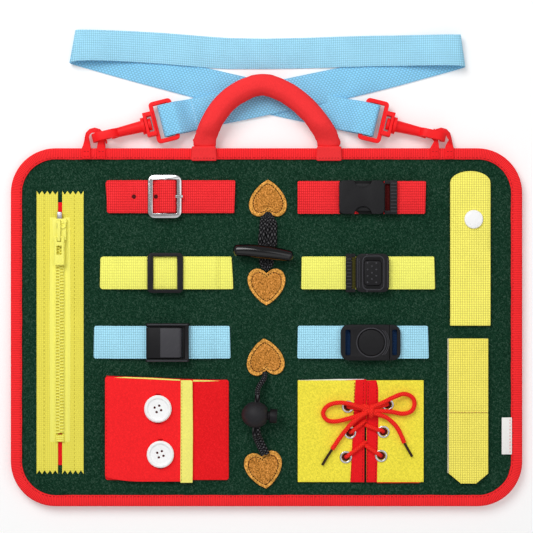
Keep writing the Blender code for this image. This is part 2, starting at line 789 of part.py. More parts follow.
def eye_outline():
    """The hook in X and Z: an oval eye, open at its lower side behind the nose, with its root."""
    half = EYE_HEIGHT / 2
    inner = half - EYE_WALL
    left, right = half, EYE_LENGTH - half
    outer = arc((right, 0), half, 0, 90, 6) + arc((left, 0), half, 90, NOSE_ANGLE, 11)
    back = arc((left, 0), inner, NOSE_ANGLE, 90, 9) + arc((right, 0), inner, 90, -90, 8)
    close = arc((right, 0), half, -90, 0, 6)
    return outer + back + close


def build_hook(name, place, turn):
    gate_root = EYE_LENGTH - EYE_HEIGHT / 2
    eye = side_slab(f"snap_hook_{name}", [eye_outline()], 0, EYE_WIDTH, "red_plastic")
    start = EYE_LENGTH - EYE_WALL
    profile = [
        (HOOK_SHAFT_RADIUS, start), (HOOK_SHAFT_END_RADIUS, HOOK_SHAFT_END),
        (HOOK_COLLAR_RADIUS, HOOK_SHAFT_END), (HOOK_COLLAR_RADIUS, HOOK_SHAFT_END + HOOK_COLLAR_LENGTH),
        (SWIVEL_PIN_RADIUS, HOOK_SHAFT_END + HOOK_COLLAR_LENGTH),
    ]
    head = HOOK_SHAFT_END + HOOK_COLLAR_LENGTH + SWIVEL_PLATE + 2 * GAP
    profile += [
        (SWIVEL_PIN_RADIUS, head), (SWIVEL_HEAD_RADIUS, head),
        (SWIVEL_HEAD_RADIUS, head + SWIVEL_HEAD_LENGTH), (0, head + SWIVEL_HEAD_LENGTH),
    ]
    shaft = turned(helper(eye, "shaft"), ([(0, start)] + profile)[::-1], "red_plastic", 14)
    shaft.matrix_basis = Matrix.Rotation(math.pi / 2, 4, "Y")
    fuse(eye, shaft)
    gate = side_slab(f"hook_gate_{name}",
                     [box(gate_root - GATE_LENGTH, -EYE_HEIGHT / 2 + GAP, gate_root - GAP,
                          -EYE_HEIGHT / 2 + GAP + GATE_THICK)], 0, GATE_WIDTH, "red_plastic")
    cut(eye, side_slab(helper(gate, "slot"),
                       [box(gate_root - GATE_LENGTH - GAP, -EYE_HEIGHT / 2 - OVERRUN, gate_root,
                            -EYE_HEIGHT / 2 + EYE_WALL + OVERRUN)], 0, EYE_WIDTH + OVERRUN, "red_plastic"))
    nub = tube(helper(gate, "nub"),
               [(gate_root - GATE_LENGTH / 2, 0, -EYE_HEIGHT / 2 + GAP + GATE_THICK / 2),
                (gate_root - GATE_LENGTH / 2, -EYE_WIDTH / 2 - GATE_NUB_REACH,
                 -EYE_HEIGHT / 2 + GAP + GATE_THICK / 2)], GATE_THICK / 2 - GAP / 2, "red_plastic")
    fuse(gate, nub)
    move([eye, shaft, gate, nub, bpy.data.objects[helper(gate, "slot")]], place, turn)
    hinge = Matrix.Translation(place) @ Matrix.Rotation(turn, 4, "Z")
    set_origin(gate, hinge @ Vector((gate_root - GAP, 0, -EYE_HEIGHT / 2 + GAP + GATE_THICK)))
    smooth(eye)


def build_hook_frame(name, place, turn):
    """A swivel box round the pin's head, and the strap frame beyond it."""
    near = HOOK_SHAFT_END + HOOK_COLLAR_LENGTH + GAP
    far = near + SWIVEL_BOX_LENGTH
    end = far + FRAME_LENGTH
    half = FRAME_THICK / 2
    outer = box(far - FRAME_BAR, -FRAME_WIDTH / 2, end, FRAME_WIDTH / 2, FRAME_CORNER)
    window = box(far, -FRAME_WIDTH / 2 + FRAME_BAR, end - FRAME_BAR, FRAME_WIDTH / 2 - FRAME_BAR)
    frame = slab(f"hook_frame_{name}", [outer, window], -half, half, "red_plastic")
    swivel_outer = box(near, -SWIVEL_BOX_WIDTH / 2, far - FRAME_BAR / 2, SWIVEL_BOX_WIDTH / 2)
    swivel_window = box(near + SWIVEL_PLATE, -SWIVEL_BOX_WIDTH / 2 + FRAME_BAR, far - FRAME_BAR,
                        SWIVEL_BOX_WIDTH / 2 - FRAME_BAR)
    swivel = slab(helper(frame, "swivel"), [swivel_outer, swivel_window], -HOOK_SHAFT_END_RADIUS,
                  HOOK_SHAFT_END_RADIUS, "red_plastic")
    bore = tube(helper(frame, "bore"), [(near - OVERRUN, 0, 0), (near + SWIVEL_PLATE + OVERRUN, 0, 0)],
                SWIVEL_PIN_RADIUS + GAP, "red_plastic", 4)
    fuse(frame, swivel)
    cut(frame, bore)
    soften(frame, GAP, 1, 60)
    move([frame, swivel, bore], place, turn)
    return (Matrix.Translation(place) @ Matrix.Rotation(turn, 4, "Z")) @ Vector((end - FRAME_BAR / 2, 0, 0))


def hook_place(place):
    return (place[0], TOP_EDGE + place[1], HOOK_LEVEL)


def build_hooks():
    """Both hooks, and the middles of the frame bars that the shoulder strap goes round."""
    bars = []
    for name, place, turn in (("left", HOOK_LEFT_PLACE, HOOK_LEFT_ANGLE),
                              ("right", HOOK_RIGHT_PLACE, HOOK_RIGHT_ANGLE)):
        build_hook(name, hook_place(place), turn)
        bars.append((build_hook_frame(name, hook_place(place), turn), turn))
    return bars


# The shoulder strap


def bar_wrap(bar, turn):
    """Stations from the turned-back end, under the bar, round it and over the top."""
    ahead = Vector((math.cos(turn), math.sin(turn), 0))
    across = Vector((-math.sin(turn), math.cos(turn), 0))
    low = SLING_THICK / 2
    reach = FRAME_THICK / 2 + 2 * GAP + SLING_THICK / 2
    side = FRAME_BAR / 2 + 2 * GAP + SLING_THICK / 2
    floor = Vector((bar.x, bar.y, 0))
    top, bottom = bar.z + reach, bar.z - reach
    over = low + SLING_THICK + GAP
    route = ((SLING_TURN_BACK, low), (side + 2 * reach, low), (side, bottom), (-FRAME_BAR / 2, bottom),
             (-side, bar.z - FRAME_THICK / 2), (-side, bar.z + FRAME_THICK / 2), (-FRAME_BAR / 2, top),
             (side, top), (SLING_TURN_BACK * SLING_SETTLE_SHARE, over + 2 * GAP),
              (SLING_TURN_BACK + side, over))
    places = [floor + ahead * run_out + Vector((0, 0, height)) for run_out, height in route]
    return [(place, across) for place in places]


def fold_over(place, arriving, leaving, rise):
    """Stations over a fold, from the lower layer to the upper one."""
    stations = []
    for i in range(SLING_FOLD_STEPS):
        share = i / (SLING_FOLD_STEPS - 1)
        angle = math.pi * (share - 0.5)
        ahead = arriving.lerp(-leaving, share).normalized()
        across = Vector((-ahead.y, ahead.x, 0))
        centre = place.lerp(rise, share)
        reach = math.cos(angle) * SLING_FOLD_RADIUS
        up = SLING_THICK / 2 + SLING_FOLD_RADIUS * (1 + math.sin(angle))
        stations.append((Vector((centre.x, centre.y, up)) + ahead * reach, across))
    return stations


def run(start, end, heights):
    """Stations along a straight run, with shares of the way and their heights."""
    ahead = Vector((end.x - start.x, end.y - start.y, 0)).normalized()
    across = Vector((-ahead.y, ahead.x, 0))
    made = []
    for share, height in heights:
        place = start.lerp(end, share)
        made.append((Vector((place.x, place.y, height)), across))
    return made


def build_sling(bars):
    (left_bar, left_turn), (right_bar, right_turn) = bars
    low = SLING_THICK / 2
    over = low + SLING_THICK + GAP
    left_fold = Vector((SLING_LEFT_FOLD[0], TOP_EDGE + SLING_LEFT_FOLD[1], 0))
    right_fold = Vector((SLING_RIGHT_FOLD[0], TOP_EDGE + SLING_RIGHT_FOLD[1], 0))
    back_left = Vector((SLING_BACK_LEFT[0], TOP_EDGE + SLING_BACK_LEFT[1], 0))
    back_right = Vector((SLING_BACK_RIGHT[0], TOP_EDGE + SLING_BACK_RIGHT[1], 0))
    middle = Vector((SLING_BACK_MIDDLE[0], TOP_EDGE + SLING_BACK_MIDDLE[1], 0))
    start = bar_wrap(left_bar, left_turn)
    end = bar_wrap(right_bar, right_turn)
    first, last = start[-1][0], end[-1][0]
    band_a = run(first, right_fold, zip(SLING_RISE_SHARES, (over, over, over, low, low)))
    band_b = run(left_fold, last, [(share, low) for share in SLING_LOW_SHARES])
    going_a = (right_fold - first).normalized()
    going_b = (last - left_fold).normalized()
    top = low + 2 * SLING_FOLD_RADIUS
    lead_right = (middle - back_right).normalized()
    lead_left = (middle - back_left).normalized()
    stations = start + band_a
    stations += fold_over(right_fold, going_a, lead_right, back_right)
    falls = (top * SLING_SETTLE_SHARE, over + low, over, low)
    stations += run(back_right, middle, zip(SLING_FALL_SHARES, falls))
    stations += [(Vector((middle.x, middle.y, low)), (0, -1, 0))]
    fall_rows = [(1 - share, fall) for share, fall in zip(SLING_FALL_SHARES, falls)]
    stations += run(middle, back_left, fall_rows[::-1])
    turned_over = fold_over(left_fold, -going_b, lead_left, back_left)[::-1]
    stations += [(place, -across) for place, across in turned_over]
    stations += [(place, across) for place, across in band_b]
    stations += [(place, -across) for place, across in end[::-1]]
    strip("shoulder_strap", aligned(stations), SLING_WIDTH, SLING_THICK, "blue_webbing")


def aligned(stations):
    """The stations with their directions across kept from flipping between neighbours."""
    kept = [stations[0]]
    for place, across in stations[1:]:
        across = Vector(across)
        before = Vector(kept[-1][1])
        kept.append((place, across if across.dot(before) >= 0 else -across))
    return kept


# The zip


def zip_half(side):
    """One tape half, pinked at both ends, for a side of -1 or 1."""
    inner = ZIP_PLACE + side * ZIP_SLIT / 2
    width = (ZIP_WIDTH - ZIP_SLIT) / 2
    loop = []
    for end, base, depth in ((1, ZIP_TOP, -ZIP_PINKING), (-1, ZIP_BOTTOM, ZIP_PINKING)):
        row = []
        for i in range(2 * ZIP_PINKS + 1):
            row.append((inner + side * width * i / (2 * ZIP_PINKS), base + (depth if i % 2 else 0)))
        loop += row[::end]
    return loop


def build_zip():
    low = LAYER_1
    high = low + ZIP_TAPE_THICK
    tape = slab("zip_tape", [zip_half(-1)], low, high, "yellow_felt")
    stop = about((ZIP_PLACE, CHAIN_BOTTOM - GAP - STOP_LENGTH / 2), STOP_WIDTH, STOP_LENGTH)
    fuse(tape, slab("zip_tape_right", [zip_half(1)], low, high, "yellow_felt"),
         slab("zip_stop", [stop], low + ZIP_TAPE_THICK / 2, low + STOP_THICK, "yellow_felt"))
    build_teeth(high + GAP)
    build_slider(low, high + GAP + CHAIN_THICK)


def build_teeth(low):
    """Two combs whose teeth stand between each other."""
    count = int((CHAIN_TOP - CHAIN_BOTTOM) / TOOTH_PITCH)
    half = CHAIN_WIDTH / 2
    for side, name, phase in ((-1, "left", 0.0), (1, "right", 0.5)):
        loop = [(side * half, CHAIN_BOTTOM), (side * TOOTH_REACH, CHAIN_BOTTOM)]
        for i in range(count - 1):
            base = CHAIN_BOTTOM + (i + phase + 0.25) * TOOTH_PITCH
            tip = TOOTH_PITCH / 2 - 2 * GAP
            loop += [(side * TOOTH_REACH, base), (-side * (TOOTH_REACH - GAP), base + GAP),
                     (-side * (TOOTH_REACH - GAP), base + tip), (side * TOOTH_REACH, base + tip + GAP)]
        top = CHAIN_BOTTOM + count * TOOTH_PITCH
        loop += [(side * TOOTH_REACH, top), (side * half, top)]
        if side > 0:
            loop = loop[::-1]
        comb = slab(f"zip_teeth_{name}", [loop], low, low + CHAIN_THICK, "yellow_felt")
        move([comb], (ZIP_PLACE, 0, 0))
        set_origin(comb, (ZIP_PLACE, CHAIN_BOTTOM, low))


def build_slider(tape_low, chain_top):
    top, bottom = SLIDER_TOP, SLIDER_TOP - SLIDER_LENGTH
    plate_low = chain_top + GAP
    plate_high = plate_low + SLIDER_PLATE
    half, nose = SLIDER_WIDTH / 2, SLIDER_NOSE_WIDTH / 2
    waist = bottom + SLIDER_LENGTH / 2
    outline = [(-half, bottom), (half, bottom), (half, waist), (half + GAP, top), (-half - GAP, top),
               (-half, waist)]
    outline = [(ZIP_PLACE + x, y) for x, y in outline]
    slider = slab("zip_slider", [outline], plate_low, plate_high, "yellow_felt")
    wall_low = chain_top - CHAIN_THICK
    for side, word in ((-1, "left"), (1, "right")):
        edges = sorted((ZIP_PLACE + side * half, ZIP_PLACE + side * (half - SLIDER_WALL)))
        wall = box(edges[0], bottom, edges[1], top)
        wall_high = plate_high - SLIDER_PLATE / 2
        fuse(slider, slab(helper(slider, word), [wall], wall_low, wall_high, "yellow_felt"))
    neck = about((ZIP_PLACE, top - SLIDER_NECK_LENGTH / 2), SLIDER_NECK_WIDTH, SLIDER_NECK_LENGTH)
    low = tape_low - GAP - SLIDER_PLATE
    fuse(slider, slab(helper(slider, "neck"), [neck], low + SLIDER_PLATE / 2, plate_low + SLIDER_PLATE / 2,
                      "yellow_felt"))
    lower = box(ZIP_PLACE - nose, bottom, ZIP_PLACE + nose, top)
    fuse(slider, slab(helper(slider, "lower"), [lower], low, tape_low - GAP, "yellow_felt"))
    build_bail(slider, plate_high)
    set_origin(slider, (ZIP_PLACE, top, plate_high))


def build_bail(slider, base):
    """The arch on the slider and the pull tab that hangs in it."""
    pull_low = base + GAP
    pull_high = pull_low + PULL_THICK
    arch_low = pull_high + GAP
    arch_high = arch_low + BAIL_TOP
    front = PULL_TOP - PULL_BAR - (PULL_EYE_LENGTH - BAIL_LEG) / 2
    rear = SLIDER_TOP - BAIL_LEG
    outer = [(front - BAIL_LEG, base - SLIDER_PLATE / 2), (front - BAIL_LEG, arch_high),
             (rear, arch_high), (rear + BAIL_LEG / 2, base - SLIDER_PLATE / 2),
             (rear - BAIL_LEG, base - SLIDER_PLATE / 2), (rear - BAIL_LEG, arch_low),
             (front, arch_low), (front, base - SLIDER_PLATE / 2)]
    arch = slab(helper(slider, "bail"), [outer], -BAIL_WIDTH / 2, BAIL_WIDTH / 2, "yellow_felt")
    arch.data.transform(Matrix.Translation((ZIP_PLACE, 0, 0)) @ Matrix(
        ((0, 0, 1, 0), (1, 0, 0, 0), (0, 1, 0, 0), (0, 0, 0, 1))))
    fuse(slider, arch)
    tab = box(ZIP_PLACE - PULL_WIDTH / 2, PULL_TOP - PULL_LENGTH, ZIP_PLACE + PULL_WIDTH / 2, PULL_TOP,
              PULL_BAR)
    eye = box(ZIP_PLACE - PULL_EYE_WIDTH / 2, PULL_TOP - PULL_BAR - PULL_EYE_LENGTH,
              ZIP_PLACE + PULL_EYE_WIDTH / 2, PULL_TOP - PULL_BAR)
    slot_top = PULL_TOP - PULL_BAR - PULL_EYE_LENGTH - PULL_SLOT_SETBACK
    slot = box(ZIP_PLACE - PULL_SLOT_WIDTH / 2, slot_top - PULL_SLOT_LENGTH,
               ZIP_PLACE + PULL_SLOT_WIDTH / 2, slot_top)
    pull = slab("zip_pull", [tab, eye, slot], pull_low, pull_high, "yellow_felt")
    set_origin(pull, (ZIP_PLACE, PULL_TOP - PULL_BAR / 2, (pull_low + pull_high) / 2))


# The left-hand rows


def build_belt():
    base = LAYER_1 + WEBBING_THICK / 2
    under = LAYER_2 + WEBBING_THICK / 2
    frame_low = LAYER_3
    over = frame_low + BELT_FRAME_THICK + GAP + WEBBING_THICK / 2
    left, right = BELT_FRAME_LEFT, BELT_FRAME_LEFT + BELT_FRAME_LENGTH
    middle = (left + right) / 2
    path = [
        (BELT_LEFT, base), (BELT_RIGHT - WEBBING_THICK / 2, base), (BELT_RIGHT - WEBBING_THICK / 2, under),
        (right - BELT_BAR - BELT_BEND_RUN, under), (middle + BELT_CENTRE_BAR / 2 + BELT_BEND_RUN, over),
        (middle - BELT_CENTRE_BAR / 2 - BELT_BEND_RUN, over), (left + BELT_BAR + BELT_BEND_RUN, under),
        (left, under),
    ]
    strap = side_slab("belt_strap", [ribbon(path, WEBBING_THICK)], BELT_LEVEL, WEBBING_WIDTH, "red_tape")
    root = box(middle - prong_reach() - BELT_PRONG_THICK, BELT_LEVEL - BELT_SLOT_WIDTH / 2,
               right - BELT_BAR - OVERRUN, BELT_LEVEL + BELT_SLOT_WIDTH / 2)
    cut(strap, slab("belt_slot", [root], LAYER_2, over + BELT_FRAME_THICK, "red_tape"))
    tail_end = left - GAP
    tail = box(BELT_LEFT, BELT_LEVEL - WEBBING_WIDTH / 2, tail_end,
               BELT_LEVEL + WEBBING_WIDTH / 2, WEBBING_THICK)
    hole = circle((BELT_LEFT + BELT_HOLE_SETBACKS[0], BELT_LEVEL), BELT_HOLE_RADIUS, 12)
    tail_low = LAYER_2
    made = slab("belt_tail", [tail, hole], tail_low, tail_low + WEBBING_THICK, "red_tape")
    set_origin(made, (tail_end, BELT_LEVEL, tail_low + WEBBING_THICK))
    build_belt_frame(left, right, middle, frame_low)
    build_prong(right, middle, frame_low)


def build_belt_frame(left, right, middle, low):
    half = BELT_FRAME_WIDTH / 2
    outer = box(left, BELT_LEVEL - half, right, BELT_LEVEL + half, BELT_FRAME_CORNER)
    windows = []
    for start, end in ((left + BELT_BAR, middle - BELT_CENTRE_BAR / 2),
                       (middle + BELT_CENTRE_BAR / 2, right - BELT_BAR)):
        windows.append(box(start, BELT_LEVEL - half + BELT_BAR, end, BELT_LEVEL + half - BELT_BAR))
    frame = slab("belt_buckle_frame", [outer] + windows, low, low + BELT_FRAME_THICK, "silver")
    soften(frame, BELT_PRONG_THICK / 2, 2, 50)
    smooth(frame)


def prong_reach():
    """From the centre bar's middle to the middle of the prong that goes round its corners."""
    return math.hypot(BELT_CENTRE_BAR / 2, BELT_FRAME_THICK / 2) + GAP + BELT_PRONG_THICK / 2


def build_prong(right, middle, low):
    """A prong whose root goes round the centre bar, lying over the right-hand bar."""
    centre = (middle, low + BELT_FRAME_THICK / 2)
    root = arc(centre, prong_reach(), 205, 90, 6)
    seat = low + BELT_FRAME_THICK + GAP + BELT_PRONG_THICK / 2
    path = root + [(right - BELT_BAR, seat), (right + BELT_PRONG_OVERHANG, seat)]
    prong = side_slab("belt_buckle_prong", [ribbon(path, BELT_PRONG_THICK)], BELT_LEVEL, BELT_PRONG_WIDTH,
                      "silver")
    set_origin(prong, (middle, BELT_LEVEL, centre[1]))


def lifted_strap(name, left, right, sewn, slope, level, lift, look):
    """A strap sewn down at both ends, with its middle lifted."""
    base = LAYER_1 + WEBBING_THICK / 2
    raised = base + lift
    path = [(left, base), (left + sewn, base), (left + sewn + slope, raised),
            (right - sewn - slope, raised), (right - sewn, base), (right, base)]
    return side_slab(name, [ribbon(path, WEBBING_THICK)], level, WEBBING_WIDTH, look)


def build_glide():
    """A frame whose centre bar lies under the strap and whose outer bars lie over it."""
    lift = GLIDE_CENTRE_THICK + GAP
    lifted_strap("glide_strap", GLIDE_LEFT, GLIDE_RIGHT, GLIDE_SEWN, GLIDE_SLOPE, GLIDE_LEVEL, lift,
                 "yellow_webbing")
    low = LAYER_1
    strap_top = low + lift + WEBBING_THICK
    high = strap_top + GAP + GLIDE_OUTER_THICK
    centre = (GLIDE_FRAME_PLACE, GLIDE_LEVEL)
    half = GLIDE_FRAME_LENGTH / 2
    tall = WEBBING_WIDTH + 2 * GAP
    window = about(centre, GLIDE_FRAME_LENGTH - 2 * GLIDE_BAR, tall)
    outer = about(centre, GLIDE_FRAME_LENGTH, GLIDE_FRAME_WIDTH, GLIDE_CORNER)
    frame = slab("glide_frame", [outer, window], strap_top + GAP, high, "black_plastic")
    bar = about(centre, GLIDE_BAR, tall + 4 * GAP)
    fuse(frame, slab("glide_bar", [bar], low, low + GLIDE_CENTRE_THICK, "black_plastic"))
    for side, word in ((-1, "lower"), (1, "upper")):
        outer = GLIDE_FRAME_WIDTH / 2 - GAP
        edges = sorted((GLIDE_LEVEL + side * (tall / 2 + GAP), GLIDE_LEVEL + side * outer))
        end = box(centre[0] - half + GLIDE_CORNER, edges[0], centre[0] + half - GLIDE_CORNER, edges[1])
        fuse(frame, slab(f"glide_end_{word}", [end], low, high - GLIDE_OUTER_THICK / 2, "black_plastic"))
    set_origin(frame, (*centre, low))


def build_cam():
    lift = CAM_FLOOR + GAP
    lifted_strap("cam_strap", CAM_LEFT, CAM_RIGHT, CAM_SEWN, CAM_SLOPE, CAM_LEVEL, lift, "blue_webbing")
    low = LAYER_1
    strap_top = low + lift + WEBBING_THICK
    left, right = CAM_FRAME_LEFT, CAM_FRAME_LEFT + CAM_FRAME_LENGTH
    half = CAM_FRAME_WIDTH / 2
    inner = WEBBING_WIDTH / 2 + GAP
    pivot = (left + CAM_LEVER_LENGTH - CAM_RADIUS, strap_top + GAP + CAM_RADIUS)
    frame = side_slab("cam_frame", [box(left, low, right, low + CAM_WALL_HEIGHT, CAM_FLOOR / 2)], CAM_LEVEL,
                      2 * half, "black_plastic")
    cut(frame, side_slab("cam_channel", [box(left - OVERRUN, low + CAM_FLOOR, right + OVERRUN,
                                             low + CAM_WALL_HEIGHT + OVERRUN)], CAM_LEVEL, 2 * inner,
                         "black_plastic"))
    bridge = box(right - CAM_BRIDGE_LENGTH, strap_top + GAP, right - GAP, low + CAM_WALL_HEIGHT - GAP)
    fuse(frame, side_slab("cam_bridge", [bridge], CAM_LEVEL, 2 * inner + OVERRUN, "black_plastic"))
    for side, word in ((-1, "lower"), (1, "upper")):
        start = CAM_LEVEL + side * (inner + OVERRUN)
        end = CAM_LEVEL + side * (CAM_LEVER_WIDTH / 2 - CAM_PIN_GRIP)
        fuse(frame, tube(f"cam_pin_{word}", [(pivot[0], start, pivot[1]), (pivot[0], end, pivot[1])],
                         CAM_PIN_RADIUS, "black_plastic", 2))
    build_cam_lever(left, pivot)


def build_cam_lever(left, pivot):
    round_end = arc(pivot, CAM_RADIUS, -90, 90, 8)
    tip = pivot[1] + CAM_RADIUS
    outline = round_end + [(left + GAP + CAM_LEVER_THICK, tip), (left + GAP, tip - CAM_LEVER_THICK / 3),
                           (left + GAP, pivot[1] - CAM_RADIUS + CAM_LEVER_THICK / 3),
                           (left + CAM_LEVER_THICK, pivot[1] - CAM_RADIUS)]
    lever = side_slab("cam_lever", [outline, circle(pivot, CAM_PIN_RADIUS + GAP, 12)], CAM_LEVEL,
                      CAM_LEVER_WIDTH, "black_plastic")
    set_origin(lever, (pivot[0], CAM_LEVEL, pivot[1]))


# The right-hand rows


def folded_strap(name, left, right, reach_left, reach_right, level, look):
    """A strip sewn flat, with both ends folded back over it to lie under the buckle's bars."""
    base = LAYER_1 + WEBBING_THICK / 2
    upper = LAYER_2 + WEBBING_THICK / 2
    half = WEBBING_THICK / 2
    path = [(reach_left, upper), (left + half, upper), (left + half, base), (right - half, base),
            (right - half, upper), (reach_right, upper)]
    return side_slab(name, [ribbon(path, WEBBING_THICK)], level, WEBBING_WIDTH, look)


def tongue_low():
    """The level of a tongue's underside, above the folded strap and the buckle's floor."""
    return LAYER_3 + GAP * 2


def buckle_shell(name, outline, channel, level, look):
    """A buckle body with a floor and a roof about its tongue's channel."""
    low = LAYER_2
    high = tongue_low() + TONGUE_THICK + GAP + ROOF_THICK
    shell = slab(name, [outline], low, high, look)
    cut(shell, slab(helper(shell, "channel"), [channel], tongue_low() - GAP,
                    tongue_low() + TONGUE_THICK + GAP, look))
    return shell


def strap_relief(shell, start, end, level):
    """Room under a buckle's end for the folded strap."""
    return cut(shell, slab(helper(shell, "relief"),
                           [box(start, level - WEBBING_WIDTH, end, level + WEBBING_WIDTH)],
                           LAYER_2 - OVERRUN, LAYER_3, "black_plastic"))


def build_clip():
    left, right = SOCKET_LEFT, SOCKET_LEFT + SOCKET_LENGTH
    half = SOCKET_WIDTH / 2
    inner = half - SOCKET_WALL
    folded_strap("clip_strap", CLIP_LEFT, CLIP_RIGHT, left + STRAP_REACH, right + OVERRUN, CLIP_LEVEL,
                 "red_tape")
    outline = box(left, CLIP_LEVEL - half, right, CLIP_LEVEL + half, SOCKET_CORNER)
    channel = box(left + SOCKET_END, CLIP_LEVEL - inner, right + OVERRUN, CLIP_LEVEL + inner)
    socket = buckle_shell("clip_socket", outline, channel, CLIP_LEVEL, "black_plastic")
    for side, word in ((-1, "lower"), (1, "upper")):
        centre = (left + NOTCH_SETBACK, CLIP_LEVEL + side * (half + NOTCH_RADIUS - NOTCH_DEPTH))
        cut(socket, slab(helper(socket, word), [circle(centre, NOTCH_RADIUS, 24)], LAYER_2 - OVERRUN,
                         LAYER_2 + SOCKET_LENGTH, "black_plastic"))
    strap_relief(socket, left - OVERRUN, left + STRAP_REACH + GAP, CLIP_LEVEL)
    build_plug(right, half, inner)


def build_plug(mouth, half, inner):
    low = tongue_low()
    near, bar = mouth + GAP, mouth + PLUG_GAP
    end = bar + PLUG_BAR
    arm = inner - GAP
    root = mouth - PLUG_ROOT
    upper = [(end, half), (near, half), (near, arm), (mouth - PLUG_ARM_LENGTH, arm),
             (mouth - PLUG_ARM_LENGTH, arm - PLUG_ARM_WIDTH), (root, arm - PLUG_ARM_WIDTH),
             (root, PLUG_GUIDE_WIDTH / 2), (mouth - PLUG_GUIDE_LENGTH, PLUG_GUIDE_WIDTH / 2)]
    outline = upper + [(x, -y) for x, y in upper[::-1]]
    outline = [(x, CLIP_LEVEL + y) for x, y in outline]
    window = box(near + GAP, CLIP_LEVEL - half + PLUG_RAIL, bar, CLIP_LEVEL + half - PLUG_RAIL)
    plug = slab("clip_plug", [outline, window], low, low + TONGUE_THICK, "black_plastic")
    ladder = box(bar, CLIP_LEVEL - half, end, CLIP_LEVEL + half, BINDING_ROUND)
    fuse(plug, slab(helper(plug, "ladder"), [ladder], LAYER_3, LAYER_3 + BUCKLE_BAR_THICK, "black_plastic"))
    set_origin(plug, (mouth, CLIP_LEVEL, low))


def build_press():
    left, right = PRESS_BODY_LEFT, PRESS_BODY_LEFT + PRESS_BODY_LENGTH
    bar_left = left - TONGUE_SLOT - TONGUE_BAR
    folded_strap("press_strap", PRESS_LEFT, PRESS_RIGHT, left - OVERRUN, right - STRAP_REACH, PRESS_LEVEL,
                 "yellow_webbing")
    half = PRESS_BODY_WIDTH / 2
    outline = box(left, PRESS_LEVEL - half, right, PRESS_LEVEL + half, PRESS_BODY_CORNER)
    inner = TONGUE_WIDTH / 2 + GAP
    channel = box(left - OVERRUN, PRESS_LEVEL - inner, left + TONGUE_LENGTH + GAP, PRESS_LEVEL + inner)
    body = buckle_shell("press_body", outline, channel, PRESS_LEVEL, "black_plastic")
    window = box(left + PRESS_WINDOW_SETBACK, PRESS_LEVEL - PRESS_WINDOW_WIDTH / 2,
                 left + PRESS_WINDOW_SETBACK + PRESS_WINDOW_LENGTH, PRESS_LEVEL + PRESS_WINDOW_WIDTH / 2,
                 PRESS_WINDOW_CORNER)
    roof = tongue_low() + TONGUE_THICK + GAP
    cut(body, slab(helper(body, "window"), [window], roof - GAP, roof + PRESS_BODY_WIDTH, "black_plastic"))
    strap_relief(body, right - STRAP_REACH - GAP, right + OVERRUN, PRESS_LEVEL)
    centre = (left + PRESS_WINDOW_SETBACK + PRESS_WINDOW_LENGTH / 2, PRESS_LEVEL)
    key = about(centre, PRESS_WINDOW_LENGTH - 2 * GAP, PRESS_WINDOW_WIDTH - 2 * GAP,
                PRESS_WINDOW_CORNER - GAP)
    button_low = tongue_low() + TONGUE_THICK + GAP + PRESS_BUTTON_RISE
    button = slab("press_button", [key], button_low, button_low + ROOF_THICK, "black_plastic")
    set_origin(button, (*centre, button_low))
    build_press_tongue(left, bar_left, half)


def build_press_tongue(mouth, bar_left, half):
    low = tongue_low()
    flat = box(mouth - TONGUE_SLOT, PRESS_LEVEL - TONGUE_WIDTH / 2, mouth + TONGUE_LENGTH,
               PRESS_LEVEL + TONGUE_WIDTH / 2)
    tongue = slab("press_tongue", [flat], low, low + TONGUE_THICK, "black_plastic")
    bar = box(bar_left, PRESS_LEVEL - half, bar_left + TONGUE_BAR, PRESS_LEVEL + half, BINDING_ROUND)
    outer = box(bar_left + TONGUE_BAR / 2, PRESS_LEVEL - half, mouth - GAP, PRESS_LEVEL + half)
    window = box(bar_left + TONGUE_BAR, PRESS_LEVEL - half + PLUG_RAIL, mouth - GAP - PLUG_RAIL / 3,
                 PRESS_LEVEL + half - PLUG_RAIL)
    ring = slab(helper(tongue, "ring"), [outer, window], low, low + TONGUE_THICK, "black_plastic")
    fuse(tongue, ring,
         slab(helper(tongue, "bar"), [bar], LAYER_3, LAYER_3 + BUCKLE_BAR_THICK, "black_plastic"))
    set_origin(tongue, (mouth, PRESS_LEVEL, low))


